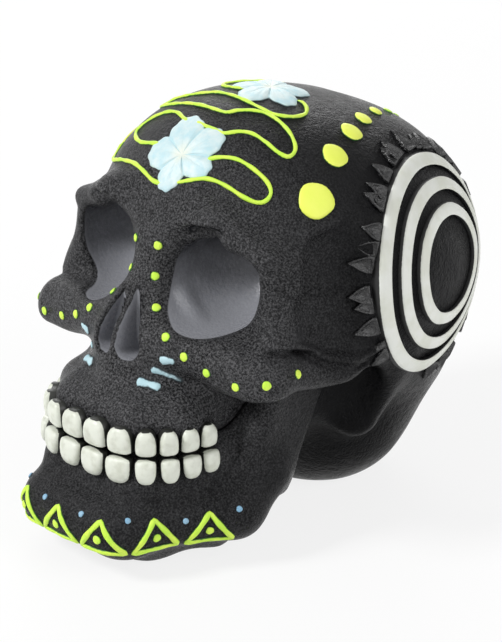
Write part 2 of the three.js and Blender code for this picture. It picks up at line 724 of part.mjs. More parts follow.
const sides = [["left", 1], ["right", -1]];
let cranium = craniumSkin(0).subtract(groundCutter());
let jaw = jawSkin(0).subtract(groundCutter()).subtract(craniumSkin(jawGap));
for (const drop of [0, leastGap]) jaw = jaw.subtract(cranium.translate([0, 0, -drop]));
for (const [, side] of sides) cranium = cranium.subtract(socketCutter(side)).subtract(noseCutter(side));

archSeats().forEach((seat, index) => {
  for (const [name, side] of sides)
    for (const upper of [true, false]) {
      const pocket = toothSolid(seat, index, side, upper, seatGap);
      if (upper) cranium = cranium.subtract(pocket);
      else jaw = jaw.subtract(pocket);
      const tooth = toothSolid(seat, index, side, upper, 0);
      addPiece(`${upper ? "upper" : "lower"}_tooth_${name}_${index + 1}`, tooth, "enamel");
    }
});
addPiece("cranium", cranium, "resin");
addPiece("mandible", jaw, "resin");

for (const [name, side] of sides) {
  bandRadii.forEach((radius, i) => addPiece(`ring_${name}_${i + 1}`, bandSolid(side, radius), "band"));
  addPiece(`spiked_collar_${name}`, collarSolid(side), "resin");
  crownDotAngles.forEach((angles, i) =>
    addPiece(`crown_dot_${name}_${i + 1}`, dotSolid(angles, crownDotShares[i], side), "neon"),
  );
}

const foreheadFlowerTurn = THREE.MathUtils.degToRad(47);
const crownFlowerTurn = THREE.MathUtils.degToRad(58);
const ahead = new THREE.Vector3(0, 1, 0);
const upward = new THREE.Vector3(0, 0, 1);
const foreheadFlower = flowerSolid(foreheadFlowerAngles, foreheadFlowerRadius, upward, foreheadFlowerTurn);
addPiece("forehead_flower", foreheadFlower, "blossom");
addPiece("crown_flower", flowerSolid(crownFlowerAngles, crownFlowerRadius, ahead, crownFlowerTurn), "blossom");
addPiece("icing_brow_left", icingSolid(browLoopAngles), "neon");
addPiece("icing_brow_right", icingSolid(browLineAngles), "neon");
addPiece("icing_temple_right", icingSolid(templeLoopAngles), "neon");
addPiece("icing_crest", icingSolid(crestLineAngles), "neon");
triangleAngles.forEach((angle, i) => addPiece(`chin_triangle_${i + 1}`, triangleSolid(angle), "neon"));

export default skull;
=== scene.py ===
import math

import bpy
import numpy as np
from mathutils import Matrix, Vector


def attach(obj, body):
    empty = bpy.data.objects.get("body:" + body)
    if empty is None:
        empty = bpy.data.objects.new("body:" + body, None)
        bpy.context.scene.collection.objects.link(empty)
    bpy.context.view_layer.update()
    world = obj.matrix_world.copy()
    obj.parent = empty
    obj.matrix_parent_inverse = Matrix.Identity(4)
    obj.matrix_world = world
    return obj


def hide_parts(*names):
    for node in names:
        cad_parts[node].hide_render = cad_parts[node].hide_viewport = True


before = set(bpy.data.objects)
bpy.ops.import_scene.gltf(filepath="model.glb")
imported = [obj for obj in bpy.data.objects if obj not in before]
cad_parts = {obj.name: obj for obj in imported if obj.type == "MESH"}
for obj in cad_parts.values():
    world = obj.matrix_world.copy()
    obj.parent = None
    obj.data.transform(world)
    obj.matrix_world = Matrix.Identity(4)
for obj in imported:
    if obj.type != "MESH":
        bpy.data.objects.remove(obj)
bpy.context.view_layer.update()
print("sugar skull: the packed model is in")

scene = bpy.context.scene
scene.view_settings.view_transform = "Standard"
millimetre, metre = 0.001, 1000  # one in metres, the other in millimetres

# The form is worked out in millimetres from the ear line, as the solid is, and placed in metres.
form = {
    "units": (70.0, 200.0, 176.0),  # half width, length and height, which the shares below are of
    "shift": 5.7,  # ear line to the middle of the footprint
    "craniumCell": 1.35,
    "jawCell": 1.15,
}
units = np.array(form["units"])


def placed(shares):
    return np.array(shares) * units


def toMetres(points):
    return (np.asarray(points) + (0, form["shift"], 0)) * millimetre


# Soft shapes


def smoothUnion(a, b, blend):
    meet = np.maximum(blend - np.abs(a - b), 0) / blend
    return np.minimum(a, b) - meet * meet * blend / 4


def smoothCut(a, b, blend):
    return -smoothUnion(-a, b, blend)


def turned(p, degrees, axis):
    x, y, z = p
    c, s = math.cos(math.radians(degrees)), math.sin(math.radians(degrees))
    if axis == "x":
        return x, c * y + s * z, c * z - s * y
    if axis == "y":
        return c * x - s * z, y, s * x + c * z
    return c * x + s * y, c * y - s * x, z


def ball(p, centre, half, turns=()):
    q = [p[i] - centre[i] for i in range(3)]
    for degrees, axis in turns:
        q = turned(q, degrees, axis)
    reach = np.sqrt(sum((q[i] / half[i]) ** 2 for i in range(3)))
    fall = np.sqrt(sum((q[i] / half[i] ** 2) ** 2 for i in range(3)))
    return reach * (reach - 1) / np.maximum(fall, 1e-6)


def rod(p, start, end, startRadius, endRadius):
    along = [end[i] - start[i] for i in range(3)]
    square = sum(v * v for v in along)
    share = np.clip(sum((p[i] - start[i]) * along[i] for i in range(3)) / square, 0, 1)
    far = np.sqrt(sum((p[i] - start[i] - along[i] * share) ** 2 for i in range(3)))
    return far - startRadius - (endRadius - startRadius) * share


def roundedBlock(p, centre, half, rounding, turns):
    q = [p[i] - centre[i] for i in range(3)]
    for degrees, axis in turns:
        q = turned(q, degrees, axis)
    d = [np.abs(q[i]) - half[i] + rounding for i in range(3)]
    inside = np.minimum(np.maximum(np.maximum(d[0], d[1]), d[2]), 0)
    return np.sqrt(sum(np.maximum(v, 0) ** 2 for v in d)) + inside - rounding


def pathDistance(p, points):
    legs = [rod(p, points[i], points[i + 1], 0, 0) for i in range(len(points) - 1)]
    return np.minimum.reduce(np.broadcast_arrays(*legs))


# Cranium

cranium = {
    "lumps": [  # centre, half sizes, blend
        ((0, 0.075, 0.565), (0.94, 0.365, 0.418), 18),
        ((0.14, 0.235, 0.585), (0.78, 0.245, 0.285), 18),
        ((0, -0.045, 0.685), (0.86, 0.235, 0.3), 18),
        ((0, 0.265, 0.37), (0.76, 0.215, 0.285), 18),
        ((0, 0.19, 0.17), (0.62, 0.2, 0.2), 12),
        ((0, -0.13, 0.545), (0.71, 0.18, 0.205), 12),
        ((0, -0.275, 0.48), (0.36, 0.12, 0.13), 12),
        ((0, -0.26, 0.36), (0.4, 0.135, 0.082), 12),
        ((0, -0.17, 0.34), (0.44, 0.2, 0.16), 12),
        ((0, -0.19, 0.365), (0.54, 0.19, 0.11), 8),
    ],
    "sideDome": ((0.385, 0.14, 0.59), (0.6, 0.3, 0.305)),  # carries the rings and faces as they do
    "sideTurns": ((20, "z"), (-5, "y")),
    "ridges": [  # two ends, the radius at each as a share of the height
        ((0, -0.18, 0.69), (0, -0.29, 0.6), 0.028, 0.03),  # bridge of the nose
        ((0.1, -0.205, 0.76), (0.4, -0.243, 0.772), 0.045, 0.042),  # brow
        ((0.4, -0.243, 0.772), (0.71, -0.185, 0.7), 0.042, 0.045),
        ((0.71, -0.185, 0.7), (0.79, -0.205, 0.56), 0.045, 0.05),
        ((0.8, -0.262, 0.47), (0.34, -0.305, 0.51), 0.068, 0.05),  # cheek
        ((0.83, -0.235, 0.46), (0.88, -0.07, 0.455), 0.052, 0.045),  # cheek arch
        ((0.88, -0.07, 0.455), (0.86, 0.08, 0.485), 0.045, 0.04),
        ((0.77, 0.11, 0.44), (0.63, 0.08, 0.25), 0.075, 0.06),  # behind the ear
        ((0, -0.375, 0.385), (0.24, -0.345, 0.375), 0.045, 0.036),  # above the tooth roots
        ((0.24, -0.345, 0.375), (0.41, -0.265, 0.38), 0.036, 0.036),
        ((0, -0.42, 0.35), (0.25, -0.405, 0.35), 0.038, 0.038),
        ((0.25, -0.405, 0.35), (0.41, -0.345, 0.35), 0.038, 0.038),
        ((0.41, -0.345, 0.35), (0.46, -0.23, 0.352), 0.038, 0.038),
    ],
    "hollows": [  # beside the bridge, temple, below the cheek arch, below the cheek
        ((0.26, -0.325, 0.685), (0.15, 0.075, 0.085)),
        ((1.08, -0.115, 0.655), (0.2, 0.1, 0.14)),
        ((0.8, -0.03, 0.32), (0.2, 0.11, 0.135)),
        ((0.8, -0.235, 0.335), (0.27, 0.12, 0.1)),
    ],
    "socketCentre": (30.5, -53, 117),
    "socketHalf": (19.8, 33, 22.4),
    "socketTurns": ((-6, "y"), (-12, "z")),
    "rimFills": [  # the brow from the nose to the outer corner, and the lower corner by the nose
        ((8.5, -51, 125.5), (13, -48.5, 131), 3.4, 3.4),
        ((13, -48.5, 131), (26, -46, 136), 3.4, 4.2),
        ((14, -45.5, 147), (38, -46.5, 134.2), 4.4, 4.6),
        ((38, -46.5, 134.2), (53, -43, 128.6), 4.6, 4.4),
        ((10, -50, 104), (19, -49, 93), 4.8, 4.8),
    ],
    "noseTop": (3.5, 107.5, 2.7),  # to the side, height, radius
    "noseLobe": (6.5, 88.5, 5.6),
    "noseBack": -64.5,
    "backmost": 98.2,  # the solid ends there
    "liningShade": (132, 98),  # heights at which the lining's painted shade, dark under the brow, is darkest and palest
    "liningDepth": 1.6,  # how far in the smooth lining of the sockets starts
    "liningFade": 1.4,
    "liningReach": 1.6,  # how near the bowl's own surface a point of the lining is
    "slotReach": 1.2,
    "slotAhead": -55,
    "linedFrom": 0.7,
    "marks": [  # lines on the side: rise, width, then how far back and how high each point is
        (2.0, 1.5, [(-45, 96.2), (-41.5, 95.7), (-30.4, 91.2), (-26.4, 87.8),
                    (-22, 86.3), (-12.4, 84), (-1.4, 84.8)]),
        (-1.7, 1.4, [(-51, 93.2), (-41, 92.6), (-32.3, 88.9), (-28.8, 85.4),
                     (-21.5, 82.4), (-12, 80), (-5.7, 79.2)]),
        (2.0, 2.3, [(-36.1, 117), (-34.6, 122), (-32.7, 127.1), (-29.4, 131),
                    (-25.5, 134.4), (-19.5, 137.6), (-12, 139.8)]),
        (-1.5, 1.0, [(-34, 114.6), (-30.5, 112.2), (-27.2, 113.4), (-23.8, 110.9),
                     (-20.4, 112), (-17, 109.8), (-13.9, 111)]),
        (0.8, 1.9, [(-36.1, 115.5), (-43.2, 106.4), (-48.2, 97.3)]),
        (-0.9, 1.6, [(-26, 104), (-19, 99), (-11, 97)]),
    ],
    "marksFrom": (42, 8),  # how far out the marks begin, and over what width they come in
    "templeSunk": (3.0, (-18.5, 124), (12, 11.5)),  # depth, middle and half sizes
    "domeBlend": 18,
    "ridgeBlend": 8,
    "socketBlend": 2.4,
    "rimBlend": 3,
    "noseBlend": 2,
    "footBlend": 1.5,
    "low": (-80, -100, -4),
    "high": (80, 106, 184),
}


def bareCranium(p):
    x, y, z = np.abs(p[0]), p[1], p[2]
    q = (x, y, z)
    d = np.inf
    for centre, half, blend in cranium["lumps"]:
        lump = ball(q, placed(centre), placed(half))
        d = lump if d is np.inf else smoothUnion(d, lump, blend)
    at, half = cranium["sideDome"]
    d = smoothUnion(d, ball(q, placed(at), placed(half), cranium["sideTurns"]), cranium["domeBlend"])
    for start, end, startShare, endShare in cranium["ridges"]:
        ridge = rod(q, placed(start), placed(end), startShare * units[2], endShare * units[2])
        d = smoothUnion(d, ridge, cranium["ridgeBlend"])
    for centre, half in cranium["hollows"]:
        d = smoothCut(d, ball(q, placed(centre), placed(half)), cranium["ridgeBlend"])
    return d


def socketBowl(p):
    q = (np.abs(p[0]), p[1], p[2])
    return ball(q, cranium["socketCentre"], cranium["socketHalf"], cranium["socketTurns"])


def noseSlot(p):
    top, lobe = cranium["noseTop"], cranium["noseLobe"]
    flat = (np.abs(p[0]), 0 * p[1], p[2])
    return rod(flat, (top[0], 0, top[1]), (lobe[0], 0, lobe[1]), top[2], lobe[2])


def craniumField(p):
    d = bareCranium(p)
    x, y, z = np.abs(p[0]), p[1], p[2]
    start, fade = cranium["marksFrom"]
    beside = np.clip((x - start) / fade, 0, 1)
    for rise, width, line in cranium["marks"]:
        far = pathDistance((0 * x, y, z), [(0, *spot) for spot in line]) / width
        d = d - rise * np.exp(-far * far) * beside
    depth, middle, half = cranium["templeSunk"]
    d = d + depth * np.exp(-(((y - middle[0]) / half[0]) ** 4) - ((z - middle[1]) / half[1]) ** 4) * beside
    d = smoothCut(d, socketBowl(p), cranium["socketBlend"])
    for start, end, startRadius, endRadius in cranium["rimFills"]:
        d = smoothUnion(d, rod((x, y, z), start, end, startRadius, endRadius), cranium["rimBlend"])
    d = smoothCut(d, np.maximum(noseSlot(p), y - cranium["noseBack"]), cranium["noseBlend"])
    return smoothCut(d, z, cranium["footBlend"])


# Jaw

jaw = {
    "rods": [
        ((0, -0.455, 0.12), (0.28, -0.44, 0.115), 0.07, 0.07),
        ((0.28, -0.44, 0.115), (0.57, -0.25, 0.125), 0.07, 0.07),
        ((0.57, -0.25, 0.125), (0.62, -0.17, 0.19), 0.065, 0.052),
        ((0, -0.425, 0.205), (0.28, -0.405, 0.21), 0.057, 0.057),
        ((0.28, -0.405, 0.21), (0.48, -0.27, 0.225), 0.057, 0.045),
        ((0, -0.415, 0.245), (0.26, -0.39, 0.245), 0.042, 0.042),
        ((0.26, -0.39, 0.245), (0.44, -0.27, 0.245), 0.042, 0.04),
        ((0, -0.495, 0.12), (0.27, -0.485, 0.115), 0.052, 0.052),
        ((0, -0.41, 0.055), (0.2, -0.365, 0.055), 0.065, 0.062),
        ((0.2, -0.365, 0.055), (0.38, -0.25, 0.05), 0.062, 0.055),
        ((0.486, -0.15, 0.36), (0.44, -0.255, 0.25), 0.046, 0.046),  # behind the last tooth
    ],
    "branchCentre": (0.64, -0.135, 0.32),
    "branchHalf": (0.075, 0.08, 0.2),
    "branchRound": 0.03,
    "branchTurns": ((7, "y"), (-19, "x")),
    "throatCentre": (0, -0.24, 0.08),
    "throatHalf": (0.4, 0.17, 0.34),
    "sideLine": [(40.6, -62, 31.7), (44, -51.8, 40.5), (45.4, -44.3, 55)],
    "sideLineHeight": 1.5,
    "sideLineWidth": 2.0,
    "axis": -60.0,
    "rodBlend": 8,
    "throatBlend": 6,
    "headGap": 0.4,  # between jaw and cranium
    "headBlend": 1,
    "footBlend": 1.5,
    "low": (-60, -114, -4),
    "high": (60, 12, 100),
}


def jawField(p):
    q = (np.abs(p[0]), p[1], p[2])
    d = np.inf
    for start, end, startShare, endShare in jaw["rods"]:
        part = rod(q, placed(start), placed(end), startShare * units[2], endShare * units[2])
        d = part if d is np.inf else smoothUnion(d, part, jaw["rodBlend"])
    centre, half = placed(jaw["branchCentre"]), placed(jaw["branchHalf"])
    branch = roundedBlock(q, centre, half, jaw["branchRound"] * units[2], jaw["branchTurns"])
    d = smoothUnion(d, branch, jaw["rodBlend"])
    d = smoothCut(d, ball(q, placed(jaw["throatCentre"]), placed(jaw["throatHalf"])), jaw["throatBlend"])
    line = pathDistance(q, jaw["sideLine"]) / jaw["sideLineWidth"]
    d = d - jaw["sideLineHeight"] * np.exp(-line * line)
    d = smoothCut(d, bareCranium(p) - jaw["headGap"], jaw["headBlend"])
    return smoothCut(d, p[2], jaw["footBlend"])


# From a soft shape to a mesh


def valueAt(field, points):
    return field((points[:, 0], points[:, 1], points[:, 2]))


def outward(field, points, reach=0.4):
    steps = np.eye(3) * reach
    rise = np.stack([valueAt(field, points + s) - valueAt(field, points - s) for s in steps], 1)
    return rise / np.maximum(np.linalg.norm(rise, axis=1, keepdims=True), 1e-9)


# One vertex in each cell that the surface crosses, joined across the crossed edges.
def gridSkin(field, low, high, cell):
    axes = [np.arange(low[i], high[i] + cell, cell) for i in range(3)]
    values = field((axes[0][:, None, None], axes[1][None, :, None], axes[2][None, None, :]))
    inside = values < 0
    size = [n - 1 for n in values.shape]
    corners = [(i, j, k) for i in (0, 1) for j in (0, 1) for k in (0, 1)]
    block = [inside[i : i + size[0], j : j + size[1], k : k + size[2]] for i, j, k in corners]
    mixed = np.logical_or.reduce(block) & ~np.logical_and.reduce(block)
    cells = np.argwhere(mixed)
    held = np.stack([values[tuple((cells + c).T)] for c in corners], 1)
    total, count = np.zeros((len(cells), 3)), np.zeros(len(cells))
    for a, ca in enumerate(corners):
        for b, cb in enumerate(corners):
            if a > b or sum(abs(ca[i] - cb[i]) for i in range(3)) != 1:
                continue
            crossed = (held[:, a] < 0) != (held[:, b] < 0)
            share = np.where(crossed, held[:, a] / np.where(crossed, held[:, a] - held[:, b], 1), 0)
            total += crossed[:, None] * (np.array(ca) + np.subtract(cb, ca) * share[:, None])
            count += crossed
    points = (cells + total / count[:, None]) * cell + [a[0] for a in axes]
    number = np.full(size, -1)
    number[mixed] = np.arange(len(cells))
    faces = []
    for axis in range(3):
        step = np.eye(3, dtype=int)[axis]
        near = inside[: values.shape[0] - step[0], : values.shape[1] - step[1], : values.shape[2] - step[2]]
        crossed = np.argwhere(near != inside[step[0] :, step[1] :, step[2] :])
        u, w = np.eye(3, dtype=int)[(axis + 1) % 3], np.eye(3, dtype=int)[(axis + 2) % 3]
        quad = np.stack([number[tuple((crossed - s).T)] for s in (u + w, w, 0 * u, u)], 1)
        leaving = near[tuple(crossed.T)]
        quad[~leaving] = quad[~leaving][:, ::-1]
        faces.append(quad)
    for turn in range(2):
        pull = valueAt(field, points)[:, None] * outward(field, points)
        points = points - np.clip(pull, -cell / 2, cell / 2)
    return points, np.concatenate(faces).tolist()


def meshFrom(name, points, faces):
    mesh = bpy.data.meshes.new(name)
    mesh.from_pydata(toMetres(points).tolist(), [], faces)
    mesh.validate()
    mesh.shade_smooth()
    piece = bpy.data.objects.new(name, mesh)
    scene.collection.objects.link(piece)
    return piece


# The face between two rows of n points each, from place i to place j.
def quad(row, i, j, n):
    return row * n + i, row * n + j, (row + 1) * n + j, (row + 1) * n + i


def shapeFrom(name, points, faces):
    mesh = bpy.data.meshes.new(name)
    mesh.from_pydata(points, [], faces)
    return bpy.data.objects.new(name, mesh)


def addValues(piece, name, values):
    layer = piece.data.attributes.new(name, "FLOAT", "POINT")
    layer.data.foreach_set("value", np.asarray(values, dtype=np.float32))


def finish(piece, nodes):
    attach(piece, "root")
    if nodes:
        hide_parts(*nodes)
    print(f"sugar skull: {piece.name}, {len(piece.data.polygons)} faces")
    return piece


# Finishes


def newFinish(name, roughness, specular=0.5):
    finishMaterial = bpy.data.materials.new(name)
    finishMaterial.use_nodes = True
    tree = finishMaterial.node_tree
    shader = tree.nodes["Principled BSDF"]
    shader.inputs["Roughness"].default_value = roughness
    shader.inputs["Specular IOR Level"].default_value = specular
    return finishMaterial, tree, shader


def objectNoise(tree, featureSize, detail=3, roughness=0.5):
    place = tree.nodes.new("ShaderNodeTexCoord")
    noise = tree.nodes.new("ShaderNodeTexNoise")
    noise.inputs["Scale"].default_value = 1 / featureSize
    noise.inputs["Detail"].default_value = detail
    noise.inputs["Roughness"].default_value = roughness
    tree.links.new(place.outputs["Object"], noise.inputs["Vector"])
    return noise.outputs["Fac"]


def ownValue(tree, name):
    node = tree.nodes.new("ShaderNodeAttribute")
    node.attribute_name = name
    return node.outputs["Fac"]


def between(tree, value, low, high, toLow=0.0, toHigh=1.0):
    node = tree.nodes.new("ShaderNodeMapRange")
    node.interpolation_type = "SMOOTHSTEP"
    for socket, number in (("From Min", low), ("From Max", high), ("To Min", toLow), ("To Max", toHigh)):
        node.inputs[socket].default_value = number
    tree.links.new(value, node.inputs["Value"])
    return node.outputs["Result"]


def plug(tree, value, socket):
    if isinstance(value, bpy.types.NodeSocket):
        tree.links.new(value, socket)
    elif isinstance(value, tuple):
        socket.default_value = (*value, 1) if len(value) == 3 else value
    else:
        socket.default_value = value


def mixedColour(tree, share, first, second):
    node = tree.nodes.new("ShaderNodeMix")
    node.data_type = "RGBA"
    plug(tree, share, node.inputs[0])
    plug(tree, first, node.inputs[6])
    plug(tree, second, node.inputs[7])
    return node.outputs[2]


def mixedNumber(tree, share, first, second):
    node = tree.nodes.new("ShaderNodeMix")
    node.data_type = "FLOAT"
    plug(tree, share, node.inputs[0])
    plug(tree, first, node.inputs[2])
    plug(tree, second, node.inputs[3])
    return node.outputs[0]


def addUp(tree, first, second):
    node = tree.nodes.new("ShaderNodeMath")
    node.operation = "ADD"
    tree.links.new(first, node.inputs[0])
    tree.links.new(second, node.inputs[1])
    return node.outputs[0]


# Noise between minus and plus the amount.
def strayed(tree, featureSize, detail, amount):
    return mixedNumber(tree, objectNoise(tree, featureSize, detail), -amount, amount)


def addBump(tree, height, depth, strength=1.0, under=None):
    bump = tree.nodes.new("ShaderNodeBump")
    bump.inputs["Distance"].default_value = depth
    plug(tree, strength, bump.inputs["Strength"])
    tree.links.new(height, bump.inputs["Height"])
    if under is not None:
        tree.links.new(under, bump.inputs["Normal"])
    return bump.outputs["Normal"]


def finishBump(tree, shader, normal):
    tree.links.new(normal, shader.inputs["Normal"])


def addGrain(tree, shader, sizes):
    grain = objectNoise(tree, sizes["grainSize"])
    finishBump(tree, shader, addBump(tree, grain, sizes["grainDepth"], sizes["grainStrength"]))


resin = {
    "black": (0.004, 0.004, 0.0045),
    "sheenAndWear": (0.017, 0.017, 0.018),
    # pale specks painted as glints of light on the grain, only where the painted sheen is
    "paintedGlint": (0.125, 0.125, 0.13),
    "glintSize": 0.0008,
    "glintDetail": (3, 0.7),
    "glintRange": (0.36, 0.74),
    "patchSize": 0.018,
    "patchRange": (0.3, 0.7),
    "sheenFade": (-0.066, 0.02),  # how far back the painted sheen of the lit front begins and ends to thin out
    "sheenRise": (0.03, 0.075),  # and the heights between which the painted sheen comes in, from the jaw up
    "sheenLow": 0.4,
    "grainSize": 0.0010,
    "grainDetail": (3, 0.6),
    "grainDepth": 0.0006,
    "lumpSize": 0.0035,
    "lumpDepth": 0.0009,
    "lumpStrength": 0.7,
    "bowlStrength": 0.1,  # what grain and lumps keep inside the sockets
    "bowlEdge": (0.35, 0.65),
    "roughness": 0.25,
    "roughRange": (0.08, 0.12),  # how much smoother and rougher the patches are
    "specular": 0.06,
    "wetRoughness": 0.2,
    "wetSpecular": 0.6,
}
lining = {
    "dark": (0.008, 0.0085, 0.01),
    "grey": (0.27, 0.275, 0.3),
    "cloudSize": 0.005,
    "clouds": 0.12,
    "darkFrom": -0.05,
    "roughness": 0.3,
    "rubbedSize": 0.002,
    "rubbedRange": (0.35, 0.7),
    "roughRange": (0.1, 0.05),
    "specular": 0.35,
    "grainSize": 0.0013,
    "grainDepth": 0.0003,
    "grainStrength": 0.6,
}


# The socket grey, with painted shade: dark under the brow and paler further down.
def liningColour(tree):
    clouds = strayed(tree, lining["cloudSize"], 3, lining["clouds"])
    shade = addUp(tree, ownValue(tree, "shade"), clouds)
    return mixedColour(tree, between(tree, shade, lining["darkFrom"], 1.0), lining["dark"], lining["grey"])


def makeResin(name, roughness, specular):
    material, tree, shader = newFinish(name, roughness, specular)
    bowl = between(tree, ownValue(tree, "bowl"), *resin["bowlEdge"])
    patches = between(tree, objectNoise(tree, resin["patchSize"]), *resin["patchRange"])
    place, split = tree.nodes.new("ShaderNodeTexCoord"), tree.nodes.new("ShaderNodeSeparateXYZ")
    tree.links.new(place.outputs["Object"], split.inputs[0])
    # Painted light: the front and upper casting get a lighter colour (painted sheen, spread in random
    # patches) and the painted glints, both fading towards the back and down the jaw
    ahead = between(tree, split.outputs["Y"], *resin["sheenFade"], 1.0, 0.0)
    raised = between(tree, split.outputs["Z"], *resin["sheenRise"], resin["sheenLow"], 1.0)
    paintedSheen = mixedNumber(tree, raised, 0.0, ahead)
    body = mixedColour(tree, mixedNumber(tree, patches, 0.0, paintedSheen), resin["black"], resin["sheenAndWear"])
    # painted glints: pale specks in the colour that stand for light catching the grain
    glints = objectNoise(tree, resin["glintSize"], *resin["glintDetail"])
    glints = between(tree, glints, *resin["glintRange"])
    body = mixedColour(tree, mixedNumber(tree, glints, 0.0, paintedSheen), body, resin["paintedGlint"])
    plug(tree, mixedColour(tree, bowl, body, liningColour(tree)), shader.inputs["Base Color"])
    smoother, rougher = resin["roughRange"]
    rough = mixedNumber(tree, patches, roughness - smoother, roughness + rougher)
    plug(tree, mixedNumber(tree, bowl, rough, lining["roughness"]), shader.inputs["Roughness"])
    strength = mixedNumber(tree, bowl, resin["lumpStrength"], resin["bowlStrength"])
    lumps = objectNoise(tree, resin["lumpSize"], 2)
    lumps = addBump(tree, lumps, resin["lumpDepth"], strength)
    strength = mixedNumber(tree, bowl, 1.0, resin["bowlStrength"])
    grain = objectNoise(tree, resin["grainSize"], *resin["grainDetail"])
    finishBump(tree, shader, addBump(tree, grain, resin["grainDepth"], strength, lumps))
    return material


def makeLining():
    material, tree, shader = newFinish("smooth socket grey", lining["roughness"], lining["specular"])
    plug(tree, liningColour(tree), shader.inputs["Base Color"])
    rubbed = between(tree, objectNoise(tree, lining["rubbedSize"], 2), *lining["rubbedRange"])
    smoother, rougher = lining["roughRange"]
    rough = mixedNumber(tree, rubbed, lining["roughness"] - smoother, lining["roughness"] + rougher)
    plug(tree, rough, shader.inputs["Roughness"])
    addGrain(tree, shader, lining)
    return material


paint = {
    "lime": ((0.56, 0.88, 0.07), (0.7, 0.91, 0.1), (0.02, 0.13, 0.012)),  # fresh, worn and fringe
    "lemon": ((0.86, 0.93, 0.15), (0.82, 0.92, 0.12), (0.02, 0.13, 0.012)),
    "paleBlue": ((0.42, 0.62, 0.68), (0.5, 0.7, 0.76), (0.02, 0.03, 0.035)),
    "chinBlue": ((0.2, 0.4, 0.58), (0.28, 0.47, 0.63), (0.02, 0.03, 0.04)),
    "fringeHeight": 0.35,  # up to which a relief shows its dark edge
    "fringeFade": 0.15,
    "fringeRagged": 0.25,
    "raggedSize": 0.0015,
    "patchSize": 0.006,
    "lemonPatchSize": 0.012,
    "patchRange": (0.35, 0.65),
    "roughness": 0.5,
    "specular": 0.4,
    "grainSize": 0.002,
    "grainDepth": 0.0002,
    "grainStrength": 0.5,
}


def makePaint(name, first, second, fringe, patch=paint["patchSize"]):
    material, tree, shader = newFinish(name, paint["roughness"], paint["specular"])
    brushed = between(tree, objectNoise(tree, patch), *paint["patchRange"])
    body = mixedColour(tree, brushed, first, second)
    ragged = strayed(tree, paint["raggedSize"], 2, paint["fringeRagged"])
    lift = addUp(tree, ownValue(tree, "lift"), ragged)
    edge, fade = paint["fringeHeight"], paint["fringeFade"]
    covered = between(tree, lift, edge - fade, edge + fade)
    plug(tree, mixedColour(tree, covered, fringe, body), shader.inputs["Base Color"])
    addGrain(tree, shader, paint)
    return material


enamel = {
    "cream": (0.72, 0.745, 0.66),
    "shade": (0.58, 0.6, 0.51),
    "outline": (0.02, 0.021, 0.018),
    "mottleSize": 0.004,
    "mottleRange": (0.4, 0.75),
    "ragged": 0.18,
    "raggedSize": 0.0016,
    "outlineRange": (0.4, 0.6),
    "roughness": 0.38,
    "grainSize": 0.003,
    "grainDepth": 0.0003,
    "grainStrength": 0.6,
}


def makeEnamel():
    material, tree, shader = newFinish("cream tooth enamel", enamel["roughness"])
    mottled = between(tree, objectNoise(tree, enamel["mottleSize"]), *enamel["mottleRange"])
    body = mixedColour(tree, mottled, enamel["cream"], enamel["shade"])
    ragged = strayed(tree, enamel["raggedSize"], 2, enamel["ragged"])
    painted = between(tree, addUp(tree, ownValue(tree, "front"), ragged), *enamel["outlineRange"])
    plug(tree, mixedColour(tree, painted, enamel["outline"], body), shader.inputs["Base Color"])
    addGrain(tree, shader, enamel)
    return material


band = {
    "white": (0.77, 0.785, 0.74),
    "tint": (0.69, 0.705, 0.63),
    "edge": (0.02, 0.02, 0.02),
    "patchSize": 0.01,
}
blossom = {
    "white": (0.66, 0.77, 0.77),
    "blue": (0.44, 0.66, 0.72),
    "cream": (0.72, 0.77, 0.69),
    # painted shadow along the flower's low sides, where it meets the casting
    "edge": (0.12, 0.17, 0.18),
    "washSize": 0.005,
    "washDetail": (3, 0.6),
    "washRange": (0.3, 0.8),
    "heartRange": (0.05, 0.4),  # shares of the reach over which the cream heart fades
    "creaseRange": (0.3, 1.0),
    "creases": 0.6,
    "footShadowRange": (0.15, 0.5),
    "roughness": 0.5,
    "specular": 0.4,
    "grainSize": 0.0022,
    "grainDepth": 0.0003,
    "grainStrength": 0.6,
}


def makeBlossom():
    material, tree, shader = newFinish("pale blossom paint", blossom["roughness"], blossom["specular"])
    washes = objectNoise(tree, blossom["washSize"], *blossom["washDetail"])
    washes = between(tree, washes, *blossom["washRange"])
    body = mixedColour(tree, washes, blossom["white"], blossom["blue"])
    heart = between(tree, ownValue(tree, "reach"), *blossom["heartRange"])
    body = mixedColour(tree, heart, blossom["cream"], body)
    valleys = between(tree, ownValue(tree, "valley"), *blossom["creaseRange"])
    creases = mixedNumber(tree, valleys, 0.0, blossom["creases"])
    body = mixedColour(tree, creases, body, blossom["blue"])
    # Painted shadow: the low sides of the petals, near the casting, take the dark edge colour
    side = between(tree, ownValue(tree, "lift"), *blossom["footShadowRange"])
    plug(tree, mixedColour(tree, side, blossom["edge"], body), shader.inputs["Base Color"])
    addGrain(tree, shader, blossom)
    return material


blackResin = makeResin("grained black resin", resin["roughness"], resin["specular"])
wetResin = makeResin("wet black resin", resin["wetRoughness"], resin["wetSpecular"])
socketGrey = makeLining()
limePaint = makePaint("lime relief paint", *paint["lime"])
lemonPaint = makePaint("lemon dot paint", *paint["lemon"], paint["lemonPatchSize"])
bluePaint = makePaint("pale blue relief paint", *paint["paleBlue"])
chinPaint = makePaint("chin dot paint", *paint["chinBlue"])
bandPaint = makePaint("ring paint", band["white"], band["tint"], band["edge"], band["patchSize"])
toothEnamel = makeEnamel()
blossomPaint = makeBlossom()
print("sugar skull: finishes made")

# Casting


